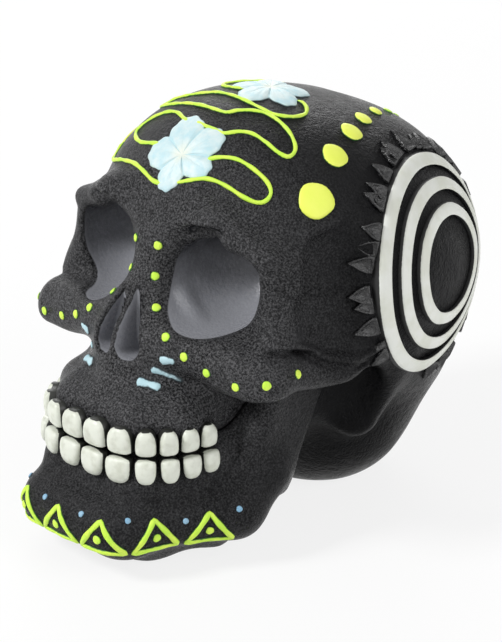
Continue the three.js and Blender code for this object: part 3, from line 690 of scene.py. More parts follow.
def makeCranium():
    points, faces = gridSkin(craniumField, cranium["low"], cranium["high"], form["craniumCell"])
    points[:, 1] = np.minimum(points[:, 1], cranium["backmost"])
    piece = meshFrom("skullCasting", points, faces)
    p = (np.abs(points[:, 0]), points[:, 1], points[:, 2])
    depth = -bareCranium(p)
    inside = np.clip((depth - cranium["liningDepth"]) / cranium["liningFade"] + 0.5, 0, 1)
    socket = (np.abs(socketBowl(p)) < cranium["liningReach"]) * inside
    reach = cranium["slotReach"]
    inside = np.clip((depth - reach) / reach, 0, 1) * (points[:, 1] < cranium["slotAhead"])
    bowl = np.maximum(socket, (np.abs(noseSlot(p)) < reach) * inside)
    addValues(piece, "bowl", bowl)
    # the shade attribute is painted shade, dark under the brow and paler lower in the sockets
    dark, pale = cranium["liningShade"]
    addValues(piece, "shade", np.clip((dark - points[:, 2]) / (dark - pale), 0, 1))
    piece.data.materials.append(blackResin)
    piece.data.materials.append(socketGrey)
    lined = bowl[np.array(faces)].min(axis=1) > cranium["linedFrom"]
    piece.data.polygons.foreach_set("material_index", lined.astype(np.int32))
    return finish(piece, ["cranium"])


def makeJaw():
    points, faces = gridSkin(jawField, jaw["low"], jaw["high"], form["jawCell"])
    piece = meshFrom("jawCasting", points, faces)
    piece.data.materials.append(blackResin)
    return finish(piece, ["mandible"])


makeCranium()
makeJaw()

# Laying pieces on the casting

casting = {
    "turns": 70,  # steps towards the casting, at most
    "share": 0.8,  # of the gap, taken in one step
    "close": 0.005,
    "far": 176,  # how far off the rays start
    "overRings": 70,
    "overJaw": 30,
    "overFlower": 60,
    "settleTurns": 4,
    "legSteps": 24,  # points on each leg of a rounded run
}
flanks = ((1, "Left"), (-1, "Right"))  # the sign along x, and the word in the names


def castOn(field, starts, inward, height=0.0):
    p = np.array(starts, dtype=float)
    for turn in range(casting["turns"]):
        gap = valueAt(field, p) - height
        p = p + inward * (gap * casting["share"])[:, None]
        if np.abs(gap).max() < casting["close"]:
            break
    return p


# Across, upright and outward of a plane, with the upright as near the guide as it can be.
def planeAxes(normal, guide=(0, 0, 1)):
    upright = np.array(guide) - normal * np.dot(guide, normal)
    upright /= np.linalg.norm(upright)
    return np.cross(upright, normal), upright, normal


# Drops a flat pattern of points on the casting, straight down on its plane.
def castFlat(field, middle, axes, flat, over, height=0.0):
    across, upright, normal = axes
    starts = middle + flat[:, :1] * across + flat[:, 1:] * upright + normal * over
    return castOn(field, starts, np.tile(-normal, (len(flat), 1)), height)


def vaultPoints(angles):
    side, lift = np.radians(np.asarray(angles, dtype=float)).T
    direction = np.stack([np.sin(side), -np.cos(side) * np.cos(lift), np.cos(side) * np.sin(lift)], 1)
    starts = placed(cranium["lumps"][0][0]) + direction * casting["far"]
    return castOn(craniumField, starts, -direction)


def jawPoints(turns, heights):
    side = np.radians(np.asarray(turns, dtype=float))
    direction = np.stack([np.sin(side), -np.cos(side), 0 * side], 1)
    axis = np.stack([0 * side, 0 * side + jaw["axis"], np.asarray(heights, dtype=float)], 1)
    return castOn(jawField, direction * casting["far"] + axis, -direction)


# A rounded run through the points, at even steps.
def smoothed(points, spacing):
    points = np.asarray(points, dtype=float)
    last = len(points) - 1
    rows = []
    for i in range(last):
        a, b, c, d = [points[min(max(k, 0), last)] for k in range(i - 1, i + 3)]
        for t in np.linspace(0, 1, casting["legSteps"], endpoint=False):
            run = 2 * b + (c - a) * t + (2 * a - 5 * b + 4 * c - d) * t**2 + (3 * b - a - 3 * c + d) * t**3
            rows.append(run / 2)
    rows.append(points[-1])
    rows = np.array(rows)
    walked = np.concatenate([[0], np.cumsum(np.linalg.norm(np.diff(rows, axis=0), axis=1))])
    steps = max(int(round(walked[-1] / spacing)), 3)
    marks = np.linspace(0, walked[-1], steps + 1)
    return np.stack([np.interp(marks, walked, rows[:, i]) for i in range(rows.shape[1])], 1)


def settled(field, points, height=0.0):
    p = np.array(points)
    for turn in range(casting["settleTurns"]):
        p = p - outward(field, p) * (valueAt(field, p) - height)[:, None]
    return p


# Trees that lay beads and set shapes


def newTree(name, sockets):
    tree = bpy.data.node_groups.new(name, "GeometryNodeTree")
    tree.interface.new_socket("Geometry", in_out="INPUT", socket_type="NodeSocketGeometry")
    for label, kind, value in sockets:
        socket = tree.interface.new_socket(label, in_out="INPUT", socket_type=kind)
        if value is not None:
            socket.default_value = value
    tree.interface.new_socket("Geometry", in_out="OUTPUT", socket_type="NodeSocketGeometry")
    return tree, tree.nodes.new("NodeGroupInput"), tree.nodes.new("NodeGroupOutput")


def namedField(tree, name, kind):
    node = tree.nodes.new("GeometryNodeInputNamedAttribute")
    node.data_type = kind
    node.inputs["Name"].default_value = name
    return next(s for s in node.outputs if s.enabled and s.name == "Attribute")


def endTree(tree, source, given, out):
    realize = tree.nodes.new("GeometryNodeRealizeInstances")
    coat = tree.nodes.new("GeometryNodeSetMaterial")
    tree.links.new(source, realize.inputs["Geometry"])
    tree.links.new(realize.outputs["Geometry"], coat.inputs["Geometry"])
    tree.links.new(given.outputs["Material"], coat.inputs["Material"])
    tree.links.new(coat.outputs["Geometry"], out.inputs["Geometry"])


# A run of points becomes a flattened bead whose upright follows the casting.
def beadTree():
    tree, given, out = newTree(
        "laid bead",
        [
            ("Width", "NodeSocketFloat", 0.002),
            ("Height", "NodeSocketFloat", 0.001),
            ("Sides", "NodeSocketInt", 12),
            ("Material", "NodeSocketMaterial", None),
        ],
    )
    add, link = tree.nodes.new, tree.links.new
    curve = add("GeometryNodeMeshToCurve")
    upright = add("GeometryNodeSetCurveNormal")
    upright.mode = "FREE"
    circle = add("GeometryNodeCurvePrimitiveCircle")
    circle.inputs["Radius"].default_value = 1.0
    halve = add("ShaderNodeMath")
    halve.operation = "MULTIPLY"
    halve.inputs[1].default_value = 0.5
    flatten = add("ShaderNodeCombineXYZ")
    shape = add("GeometryNodeTransform")
    sweep = add("GeometryNodeCurveToMesh")
    sweep.inputs["Fill Caps"].default_value = True
    link(given.outputs["Geometry"], curve.inputs["Mesh"])
    link(curve.outputs["Curve"], upright.inputs["Curve"])
    link(namedField(tree, "upright", "FLOAT_VECTOR"), upright.inputs["Normal"])
    link(given.outputs["Sides"], circle.inputs["Resolution"])
    link(given.outputs["Width"], halve.inputs[0])
    link(given.outputs["Height"], flatten.inputs["X"])
    link(halve.outputs[0], flatten.inputs["Y"])
    flatten.inputs["Z"].default_value = 1.0
    link(circle.outputs["Curve"], shape.inputs["Geometry"])
    link(flatten.outputs[0], shape.inputs["Scale"])
    link(upright.outputs["Curve"], sweep.inputs["Curve"])
    link(shape.outputs["Geometry"], sweep.inputs["Profile Curve"])
    link(namedField(tree, "girth", "FLOAT"), sweep.inputs["Scale"])
    endTree(tree, sweep.outputs["Mesh"], given, out)
    return tree


# A shape is set on each point, its top along the upright there and its front along the facing.
def stampTree():
    tree, given, out = newTree(
        "set shape",
        [
            ("Shape", "NodeSocketObject", None),
            ("Least Size", "NodeSocketFloat", 0.95),
            ("Most Size", "NodeSocketFloat", 1.05),
            ("Seed", "NodeSocketInt", 7),
            ("Material", "NodeSocketMaterial", None),
        ],
    )
    add, link = tree.nodes.new, tree.links.new
    shape = add("GeometryNodeObjectInfo")
    turn = add("FunctionNodeAxesToRotation")
    turn.primary_axis, turn.secondary_axis = "Z", "X"
    vary = add("FunctionNodeRandomValue")
    size = add("ShaderNodeVectorMath")
    size.operation = "SCALE"
    stamp = add("GeometryNodeInstanceOnPoints")
    link(given.outputs["Shape"], shape.inputs["Object"])
    link(given.outputs["Least Size"], next(s for s in vary.inputs if s.enabled and s.name == "Min"))
    link(given.outputs["Most Size"], next(s for s in vary.inputs if s.enabled and s.name == "Max"))
    link(given.outputs["Seed"], vary.inputs["Seed"])
    link(namedField(tree, "spread", "FLOAT_VECTOR"), size.inputs[0])
    link(next(s for s in vary.outputs if s.enabled), size.inputs["Scale"])
    link(namedField(tree, "upright", "FLOAT_VECTOR"), turn.inputs["Primary Axis"])
    link(namedField(tree, "facing", "FLOAT_VECTOR"), turn.inputs["Secondary Axis"])
    link(given.outputs["Geometry"], stamp.inputs["Points"])
    link(shape.outputs["Geometry"], stamp.inputs["Instance"])
    link(turn.outputs["Rotation"], stamp.inputs["Rotation"])
    link(size.outputs[0], stamp.inputs["Scale"])
    endTree(tree, stamp.outputs["Instances"], given, out)
    return tree


laidBead = beadTree()
setShape = stampTree()


# Runs a tree on a set of points and keeps the plain mesh that comes out.
def grown(name, points, edges, values, tree, settings):
    seedMesh = bpy.data.meshes.new(name + " seed")
    seedMesh.from_pydata(toMetres(points).tolist(), edges, [])
    for label, numbers in values.items():
        numbers = np.asarray(numbers, dtype=np.float32)
        kind, key = ("FLOAT_VECTOR", "vector") if numbers.ndim == 2 else ("FLOAT", "value")
        seedMesh.attributes.new(label, kind, "POINT").data.foreach_set(key, numbers.ravel())
    seedling = bpy.data.objects.new(name + " seed", seedMesh)
    scene.collection.objects.link(seedling)
    modifier = seedling.modifiers.new("tree", "NODES")
    modifier.node_group = tree
    for socket in tree.interface.items_tree:
        if getattr(socket, "in_out", "") == "INPUT" and socket.name in settings:
            modifier[socket.identifier] = settings[socket.name]
    ready = seedling.evaluated_get(bpy.context.evaluated_depsgraph_get())
    mesh = bpy.data.meshes.new_from_object(ready)
    mesh.name = name
    bpy.data.objects.remove(seedling)
    bpy.data.meshes.remove(seedMesh)
    mesh.shade_smooth()
    piece = bpy.data.objects.new(name, mesh)
    scene.collection.objects.link(piece)
    return piece


# Sets the shape on each point. kind says how much the size varies.
def stamped(name, shape, places, kind, seed, material):
    points, upright, facing, spread = places
    scene.collection.objects.link(shape)
    settings = {"Shape": shape, "Least Size": kind["least"], "Most Size": kind["most"], "Seed": seed}
    values = {"upright": upright, "facing": facing, "spread": np.asarray(spread) * millimetre}
    piece = grown(name, points, [], values, setShape, {**settings, "Material": material})
    bpy.data.objects.remove(shape)
    return piece


def vertexPlaces(piece):
    co = np.empty(len(piece.data.vertices) * 3, dtype=np.float32)
    piece.data.vertices.foreach_get("co", co)
    return co.reshape(-1, 3).astype(float) * metre - (0, form["shift"], 0)


def addLift(piece, field):
    addValues(piece, "lift", valueAt(field, vertexPlaces(piece)))


def runEdges(runs):
    edges, start = [], 0
    for count, closed in runs:
        edges += [(start + i, start + i + 1) for i in range(count - 1)]
        if closed:
            edges.append((start + count - 1, start))
        start += count
    return edges


bead = {
    "waves": ((0.09, 0.9), (0.06, 0.37)),  # how much the girth changes, and how fast from point to point
    "endGirth": 0.35,
    "taper": 3,  # how many points the girth takes to come up from an end
    "sink": 0.1,
    "sides": 12,
}


# paths: lists of points on the casting, each with True where it closes on itself.
def layBeads(name, field, paths, width, height, material, nodes, taper=bead["taper"]):
    sink, thin = bead["sink"], bead["endGirth"]
    (swell, beat), (slowSwell, slowBeat) = bead["waves"]
    runs, points, girth = [], [], []
    for path, closed in paths:
        path = settled(field, path[:-1] if closed else path, -sink)
        count = len(path)
        place = np.arange(count)
        wave = 1 + swell * np.sin(place * beat) + slowSwell * np.sin(place * slowBeat + 1)
        fromEnd = np.minimum(place, place[::-1])
        girth.append(wave if closed else wave * np.clip(thin + fromEnd / taper, thin, 1))
        runs.append((count, closed))
        points.append(path)
    points = np.concatenate(points)
    values = {"upright": outward(field, points), "girth": np.concatenate(girth)}
    size = {"Width": width * millimetre, "Height": (height + sink) * millimetre, "Sides": bead["sides"]}
    settings = {**size, "Material": material}
    piece = grown(name, points, runEdges(runs), values, laidBead, settings)
    addLift(piece, field)
    return finish(piece, nodes)


# Side rings

rings = {
    "centreAngles": (66, 164),
    "turnBack": 20,
    "turnUp": 5,
    "innerRadii": (19.8, 30.1, 39.8),
    "width": 5.2,
    "height": 2.0,
    "rounding": 0.7,
    "sunk": 0.8,  # how deep the foot goes into the casting
    "crown": 0.15,  # how much higher the middle of a band is than its edges
    "wobbles": ((0.13, 5), (0.08, 11)),  # how far the edges stray, and how often in a round
    "innerWobble": 0.6,
    "steps": 132,
    "waves": 3,  # a ring bridges small dips in the casting, and follows only its broad shape
}


# The broad shape of a value round a ring.
def swept(values):
    waves = np.fft.rfft(values)
    waves[rings["waves"] :] = 0
    return np.fft.irfft(waves, len(values))


# Middle of the rings and the axes of their plane.
def rosetteFrame(side):
    point = vaultPoints([rings["centreAngles"]])[0]
    back, up = math.radians(rings["turnBack"]), math.radians(rings["turnUp"])
    normal = np.array([math.cos(back) * math.cos(up), math.sin(back) * math.cos(up), math.sin(up)])
    return point * (side, 1, 1), planeAxes(normal * (side, 1, 1))


def onRosette(side, flat):
    point, axes = rosetteFrame(side)
    return castFlat(craniumField, point, axes, flat, casting["overRings"])


def makeRing(side, label, index, inner):
    width, height, r = rings["width"], rings["height"], rings["rounding"]
    crown = height + rings["crown"]
    profile = [(0, -rings["sunk"]), (0, 0.3), (0.05, height - r)]  # the inner edge: in and up
    profile += [(r * 0.35, height - r * 0.3), (r, height)]
    profile += [(width * 0.35, crown), (width * 0.65, crown)]
    profile += [(width - s, h) for s, h in profile[:5][::-1]]  # the outer edge mirrors the inner one
    turn = np.linspace(0, 2 * np.pi, rings["steps"], endpoint=False)
    (stray, few), (fine, many) = rings["wobbles"]
    wobble = stray * np.sin(turn * few + index * 2 + side) + fine * np.sin(turn * many + index)
    point, axes = rosetteFrame(side)
    normal = axes[2]
    ray = np.stack([np.cos(turn), np.sin(turn)], 1)
    edges = [(onRosette(side, ray * (inner + share * width)) - point) @ normal for share in (0.0, 1.0)]
    level, slope = swept((edges[0] + edges[1]) / 2), swept(edges[1] - edges[0]) / width
    rows = []
    for step, rise in profile:
        radius = inner + step + wobble * (rings["innerWobble"] if step < width / 2 else 1)
        seat = onRosette(side, radius[:, None] * ray)
        depth = (seat - point) @ normal
        top = level + slope * (step - width / 2) + rise
        rows.append(seat + ((top if rise > 0 else np.minimum(depth, top) + rise) - depth)[:, None] * normal)
    points = np.stack(rows, 1).reshape(-1, 3)
    loop, count = len(profile), len(turn)
    faces = []
    for i in range(count):
        for j in range(loop):
            a, b = i * loop + j, i * loop + (j + 1) % loop
            c, d = ((i + 1) % count) * loop + (j + 1) % loop, ((i + 1) % count) * loop + j
            faces.append((a, b, c, d))
    piece = meshFrom(f"ring{label}{index + 1}", points, faces)
    piece.data.materials.append(bandPaint)
    painted = [1.0 if rise > height - r / 2 else 0.0 for step, rise in profile]
    addValues(piece, "lift", np.tile(painted, count))
    return finish(piece, [f"ring_{label.lower()}_{index + 1}"])


for side, label in flanks:
    for index, inner in enumerate(rings["innerRadii"]):
        makeRing(side, label, index, inner)

# Pointed petals round the rings

petals = {
    "count": 36,
    "innerRadius": 45.6,
    "length": 10.4,
    "width": 7.2,
    "height": 2.0,
    "bare": 0.15,  # share of the round, over the jaw, that is left bare
    "bareTurn": 242,  # the middle of that share
    "outline": [(0, -0.5), (0.18, -0.52), (0.45, -0.4), (0.75, -0.17), (1.0, 0.0)],  # one side
    "rows": ((1.0, -0.5), (1.0, 0.5), (0.9, 1.0), (0.74, 0.75), (0.4, 0.25)),  # scale and rise
    "hollowAt": 0.4,  # the rows shrink towards this share of the length
    "tipFrom": 0.9,
    "tipRise": 0.75,
    "turnVary": (0.05, 2.3),  # how much each petal strays, and how fast from one to the next
    "lengthVary": (0.12, 1.7),
    "seed": 11,
    "least": 0.82,
    "most": 1.08,
}


# A pointed leaf with a raised rim and a hollow middle: foot at x = 0, point along +x, top along +z.
def petalShape():
    outline = petals["outline"] + [(x, -y) for x, y in petals["outline"][:-1][::-1]]
    at, points, faces = petals["hollowAt"], [], []
    for scale, rise in petals["rows"]:
        for x, y in outline:
            lowered = 1.0 if x < petals["tipFrom"] else petals["tipRise"]
            points.append(((x - at) * scale + at, y * scale, rise * lowered))
    n, last = len(outline), len(petals["rows"]) - 1
    for row in range(last):
        faces += [quad(row, i, (i + 1) % n, n) for i in range(n)]
    faces.append([last * n + i for i in range(n)])
    faces.append([i for i in range(n)][::-1])
    return shapeFrom("petal", points, faces)


def makePetals(side, label):
    count = petals["count"]
    turn = (np.arange(count) + 0.5) * 2 * np.pi / count
    bareTurn = petals["bareTurn"] if side > 0 else 540 - petals["bareTurn"]  # mirrored on the right
    middle = math.radians(bareTurn)
    low = np.abs((turn - middle + np.pi) % (2 * np.pi) - np.pi) < petals["bare"] * np.pi
    stray, beat = petals["turnVary"]
    turn = turn[~low] + stray * np.sin(np.arange((~low).sum()) * beat)
    ray = np.stack([np.cos(turn), np.sin(turn)], 1)
    foot = onRosette(side, ray * petals["innerRadius"])
    tip = onRosette(side, ray * (petals["innerRadius"] + petals["length"]))
    facing = tip - foot
    length = np.linalg.norm(facing, axis=1)
    upright = outward(craniumField, (foot + tip) / 2)
    stray, beat = petals["lengthVary"]
    vary = 1 + stray * np.sin(np.arange(len(turn)) * beat)
    spread = [(petals["length"] * v, petals["width"], petals["height"]) for v in vary]
    places = (foot, upright, facing / length[:, None], spread)
    piece = stamped(f"petals{label}", petalShape(), places, petals, petals["seed"], wetResin)
    return finish(piece, [f"spiked_collar_{label.lower()}"])


for side, label in flanks:
    makePetals(side, label)

# Dots

dots = {
    "crownAngles": [(43, 55), (37, 76), (31.5, 92), (26, 104), (21, 115)],
    "crownRadii": (7.5, 5.7, 4.95, 3.9, 3.0),
    "tailAngles": [(16.7, 125.5), (11.5, 135.5), (6.5, 145)],
    "tailRadii": (2.3, 1.8, 1.4),
    "faceSpots": [(6.3, -57.8, 126.3), (7.2, -60.6, 114.4), (13, -65.4, 104.4), (22.2, -69, 95.2),
                  (31.8, -69, 89.6), (42.6, -67.9, 85.4), (56.1, -64.5, 83), (66.5, -58.1, 84.8),
                  (67.4, -42, 85)],
    "faceRadius": 1.9,
    "chinTurns": [(-93, 26.7), (-68, 24), (-38, 27.8), (-13.5, 27.2),
                  (13.5, 27.2), (38, 27.8), (68, 24), (93, 26.7)],  # degrees round the jaw, and height
    "chinRadius": 1.35,
    "domeHeight": 1.25,
    "smallDomeHeight": 0.9,
    "domeSides": 24,
    "domeRows": 6,
    "sideRound": 0.8,  # below 1 the dome is fuller at its side, and at its top
    "topRound": 0.9,
    "uneven": ((0.03, 3), (0.02, 5)),  # how much the rim strays, and how often in a round
    "foot": 0.8,  # how far the dome goes on below its rim
    "sink": 0.05,
    "facing": (0.3, 1, 0.2),
    "seed": 3,
    "least": 0.95,
    "most": 1.0,
}


def domeShape():
    n, last = dots["domeSides"], dots["domeRows"]
    (stray, few), (fine, many) = dots["uneven"]
    points, faces = [], []
    for row in range(last):
        lean = math.pi / 2 * row / last
        wide, rise = math.cos(lean) ** dots["sideRound"], math.sin(lean) ** dots["topRound"]
        for i in range(n):
            turn = 2 * math.pi * i / n
            uneven = 1 + stray * math.sin(few * turn + 1) + fine * math.sin(many * turn)
            points.append((wide * uneven * math.cos(turn), wide * uneven * math.sin(turn), rise))
    points.append((0, 0, 1))
    points += [(*spot[:2], -dots["foot"]) for spot in points[:n]]
    foot = last * n + 1
    for i in range(n):
        j = (i + 1) % n
        faces += [quad(row, i, j, n) for row in range(last - 1)]
        faces.append(((last - 1) * n + i, (last - 1) * n + j, last * n))
        faces.append((foot + i, foot + j, j, i))
    faces.append([foot + i for i in range(n)][::-1])
    return shapeFrom("dome", points, faces)


def layDots(name, field, points, radii, height, material, nodes):
    points = settled(field, points, -dots["sink"])
    upright = outward(field, points)
    facing = np.cross(upright, dots["facing"])
    radii = np.broadcast_to(np.asarray(radii, dtype=float), (len(points),))
    spread = np.stack([radii, radii, np.full(len(points), height)], 1)
    piece = stamped(name, domeShape(), (points, upright, facing, spread), dots, dots["seed"], material)
    addLift(piece, field)
    return finish(piece, nodes)


# Each place with its mirror image: only the first number changes its sign.
def bothSides(places):
    return [(s * a, *rest) for s in (1, -1) for a, *rest in places]


for side, label in flanks:
    spots = vaultPoints([(side * a, b) for a, b in dots["crownAngles"]])
    nodes = [f"crown_dot_{label.lower()}_{i + 1}" for i in range(5)]
    name, height = f"crownDots{label}", dots["domeHeight"]
    layDots(name, craniumField, spots, dots["crownRadii"], height, lemonPaint, nodes)

low = dots["smallDomeHeight"]
tail = vaultPoints(bothSides(dots["tailAngles"]))
layDots("crownTailDots", craniumField, tail, dots["tailRadii"] * 2, low, limePaint, [])
face = bothSides(dots["faceSpots"])
layDots("cheekDots", craniumField, face, dots["faceRadius"], low, limePaint, [])
chin = jawPoints(*zip(*dots["chinTurns"]))
layDots("chinDots", jawField, chin, dots["chinRadius"], low, chinPaint, [])

# Icing lines and brush strokes

icing = {
    "width": 1.9,
    "height": 1.0,
    "angleStep": 1.0,
    "step": 1.2,
    "low": [(-35, 50), (-38, 46), (-34, 42), (-21.7, 41), (-14.5, 40.5), (-8.7, 39.1), (-2.8, 37.1),
            (1.4, 37.2), (5.1, 38.5), (8.9, 40.1), (13, 42.4), (16.9, 43.1), (21.1, 42.9), (25.5, 42.3),
            (29.4, 42.6), (31.4, 44.3), (31.6, 47.5), (29.3, 49.9), (24.8, 51.2), (19.5, 51.6),
            (15.8, 50.7), (12.6, 48.9), (10.3, 47)],
    "far": [(-2, 56.1), (-5.9, 57.4), (-10, 59), (-14.5, 59.1), (-19.1, 57.6), (-23.1, 55), (-24.4, 51.9),
            (-21.4, 49), (-16.1, 47.2), (-9.5, 47.4), (-4.9, 47.5)],
    "crest": [(-0.8, 57), (1.4, 56.9), (4, 56.8), (7.3, 56.8), (10.4, 57), (13.7, 59.7), (17.1, 61.1),
              (21.7, 61), (25.7, 60.5), (28.9, 61.2), (29.3, 64), (27.8, 66.7), (24, 69.2), (19, 70.5),
              (14.3, 70.3), (10.8, 68.8), (7.4, 66), (5.5, 63.8), (2, 63.4), (-3.3, 63.5), (-10.1, 63.5),
              (-16.3, 63.3), (-22, 63.8), (-27, 65), (-27, 67.5), (-21, 68.6), (-16.6, 68.8),
              (-11.4, 69.8), (-6.2, 71.3), (-1, 71.6), (5.5, 71.3), (11.6, 71.2), (16.5, 72.2),
              (19.6, 75.8), (20.2, 80.6), (18.1, 84.1), (15.1, 85.6), (13.2, 84.7)],
    "top": [(-1, 77), (-6.2, 76.5), (-10.5, 77.5), (-13, 81), (-12, 86), (-8, 90), (-2, 90)],
    "nodes": {
        "low": ["icing_brow_left", "icing_brow_right"],
        "far": ["icing_temple_right"],
        "crest": ["icing_crest"],
        "top": [],
    },
}


# The lines are given as two angles from the middle of the vault: to the left, and up from the front.
def icingPath(angles):
    return smoothed(vaultPoints(smoothed(angles, icing["angleStep"])), icing["step"])


for key, nodes in icing["nodes"].items():
    paths = [(icingPath(icing[key]), False)]
    width, height = icing["width"], icing["height"]
    layBeads(f"icing{key.title()}", craniumField, paths, width, height, limePaint, nodes)

strokes = {  # on the upper jaw: how far out, back and up, then the width
    "half": ([(20.6, -71.1, 85.6), (24.3, -70.1, 86.4), (27.4, -69, 86.2)], 3.6),
    "long": ([(16.9, -72.6, 81.5), (19.8, -70.3, 80.3), (23.1, -67.5, 78.6), (26.8, -64.5, 76.7)], 3.1),
    "lower": ([(12.8, -76.6, 76.1), (17, -74.8, 75.7), (22.3, -72.1, 74.6)], 3.9),
    "height": 0.8,
    "step": 1.0,
    "taper": 1.5,
}
for key in ("half", "long", "lower"):
    spots, width = strokes[key]
    paths = [(smoothed([(s * x, y, z) for x, y, z in spots], strokes["step"]), False) for s in (1, -1)]
    height, taper = strokes["height"], strokes["taper"]
    layBeads(f"{key}Strokes", craniumField, paths, width, height, bluePaint, [], taper)

# Chin triangles

triangles = {
    "turns": (-81, -53, -27, -1.5, 24.5, 52, 80.5),
    "middleHeights": (20.3, 20.8, 21.3, 21.3, 21.6, 20.6, 20),
    "width": 24.4,
    "height": 16.4,
    "line": 2.5,
    "relief": 1.0,
    "sideInset": 1.9,  # how far the corners and the apex draw in, in half widths of the line
    "apexInset": 1.7,
    "apexSway": (0.6, 2.1),  # how far the apex strays to a side, and how fast from one to the next
    "sideSteps": 14,
    "dotDrop": 1.6,
    "dotRadius": 1.9,
}


def onJaw(index, flat):
    centre = jawPoints([triangles["turns"][index]], [triangles["middleHeights"][index]])[0]
    axes = planeAxes(outward(jawField, centre[None])[0])
    return castFlat(jawField, centre, axes, flat, casting["overJaw"])


def makeTriangle(index):
    inset = triangles["line"] / 2
    half = triangles["width"] / 2 - inset * triangles["sideInset"]
    low, apex = -triangles["height"] / 2 + inset, triangles["height"] / 2 - inset * triangles["apexInset"]
    sway, beat = triangles["apexSway"]
    corners = np.array([(-half, low), (half, low), (sway * math.sin(index * beat), apex)])
    flat = []
    for i in range(3):
        for share in np.linspace(0, 1, triangles["sideSteps"], endpoint=False):
            flat.append(corners[i] * (1 - share) + corners[(i + 1) % 3] * share)
    flat = np.array(flat)
    soft = (np.roll(flat, 1, 0) + 2 * flat + np.roll(flat, -1, 0)) / 4
    path = onJaw(index, soft)
    paths, nodes = [(np.concatenate([path, path[:1]]), True)], [f"chin_triangle_{index + 1}"]
    line, relief = triangles["line"], triangles["relief"]
    layBeads(f"chinTriangle{index + 1}", jawField, paths, line, relief, limePaint, nodes)
    return onJaw(index, np.array([(0.0, -triangles["dotDrop"])]))[0]


spots = np.array([makeTriangle(index) for index in range(len(triangles["turns"]))])
layDots("triangleDots", jawField, spots, triangles["dotRadius"], low, limePaint, [])

# Flowers

flowers = {  # each petal: which way it points, its length, its half width as a share of that
    "forehead": {
        "angles": (3.3, 46.2),
        "petals": [(116.1, 20, 0.41), (51.6, 18.2, 0.42), (346.8, 15, 0.42), (258.8, 16, 0.38),
                   (181.8, 18.3, 0.42)],
    },
    "crown": {
        "angles": (3.5, 83.5),
        "petals": [(58, 16.4, 0.37), (130, 17.2, 0.38), (202, 16.2, 0.37), (274, 17.4, 0.38),
                   (346, 16.6, 0.37)],
    },
    "height": 1.6,
    "around": 160,
    "rows": 16,
    "middleShare": 0.46,  # where along a petal its ellipse has its middle, and how long its half is
    "halfShare": 0.54,
    "valleyWidth": 0.14,
    "valleyDepth": 0.55,
    "veinWidth": 0.05,
    "veinDepth": 0.24,
    "cup": (0.5, 0.55, 0.9),  # height at the heart, what is added further out, and how soon
    "folds": (0.06, 30),  # depth and count of the fine folds, and of the notches in the rim
    "notches": (0.02, 21),
    "follow": (0.85, 0.15),  # share of the height that follows the cup, and share that doesn't
    "edge": (0.35, 0.65),  # height left at the rim, and what is lost towards it
    "foot": 0.6,
}


# How far each petal, an ellipse that starts at the heart, reaches along each direction.
def petalReach(turn, way, length, share):
    c, a, b = flowers["middleShare"] * length, flowers["halfShare"] * length, share * length
    off = (turn - math.radians(way) + np.pi) % (2 * np.pi) - np.pi
    m = (np.cos(off) / a) ** 2 + (np.sin(off) / b) ** 2
    k = c * np.cos(off) / a**2
    return (k + np.sqrt(k * k - m * (c * c / a / a - 1))) / m, off


def makeFlower(key, node, guide):
    centre = vaultPoints([flowers[key]["angles"]])[0]
    axes = planeAxes(outward(craniumField, centre[None])[0], guide)
    turn = np.linspace(0, 2 * np.pi, flowers["around"], endpoint=False)
    each = [petalReach(turn, *petal) for petal in flowers[key]["petals"]]
    reaches, offs = np.array(each).transpose(1, 0, 2)
    order = np.argsort(reaches, axis=0)
    first, after = order[-1:], order[-2:-1]
    reach, second = [np.take_along_axis(reaches, which, 0)[0] for which in (first, after)]
    off = np.take_along_axis(offs, first, 0)[0]
    valley = np.exp(-(((reach - second) / (flowers["valleyWidth"] * reach)) ** 2))  # where two petals meet
    vein = np.exp(-((off / flowers["veinWidth"]) ** 2))
    rows, heights = [], []
    heart, added, soon = flowers["cup"]
    (folds, foldCount), (notches, notchCount) = flowers["folds"], flowers["notches"]
    (follows, stays), (left, lost) = flowers["follow"], flowers["edge"]
    for row in range(flowers["rows"] + 1):
        share = row / flowers["rows"]
        cup = heart + added * math.sin(math.pi * min(share, 0.9) ** soon)
        veined = 1 - flowers["veinDepth"] * vein * math.sin(math.pi * share)
        shape = cup * veined * (1 - flowers["valleyDepth"] * valley * min(share * 3, 1))
        shape = shape * (1 + folds * np.cos(off * foldCount) * share)
        rows.append(reach * share * (1 - notches * np.cos(off * notchCount) * share))
        edge = left + lost * math.sqrt(max(1 - share**6, 0))
        heights.append(flowers["height"] * (shape * follows + stays) * edge)
    rows.append(rows[-1])
    heights.append(np.full(len(turn), -flowers["foot"]))
    radii, rise, levels = np.concatenate(rows[1:]), np.concatenate(heights[1:]), len(rows) - 1
    spin = np.tile(turn, levels)
    flat = np.stack([radii * np.cos(spin), radii * np.sin(spin)], 1)
    points = [castFlat(craniumField, centre, axes, flat, casting["overFlower"], rise)]
    for height in (heights[0].mean(), -flowers["foot"]):  # the pole on top and the one below
        points.append(castFlat(craniumField, centre, axes, np.zeros((1, 2)), casting["overFlower"], height))
    points = np.concatenate(points)
    n, faces = len(turn), []
    for i in range(n):
        j = (i + 1) % n
        for row in range(levels - 1):
            a, b, c, d = quad(row, i, j, n)
            faces.append((a, d, c, b))
        faces.append((levels * n, i, j))
        faces.append((levels * n + 1, (levels - 1) * n + j, (levels - 1) * n + i))
    piece = meshFrom(f"{key}Flower", points, faces)
    piece.data.materials.append(blossomPaint)
    addLift(piece, craniumField)
    shares = np.repeat(np.minimum(np.arange(1, levels + 1) / flowers["rows"], 1), n)
    addValues(piece, "reach", np.concatenate([shares, [0, 1]]))
    addValues(piece, "valley", np.concatenate([np.tile(valley, levels), [0, 0]]))
    return finish(piece, [node])


makeFlower("forehead", "forehead_flower", (0.0, 0.0, 1.0))
makeFlower("crown", "crown_flower", (0.0, 1.0, 0.0))

# Teeth

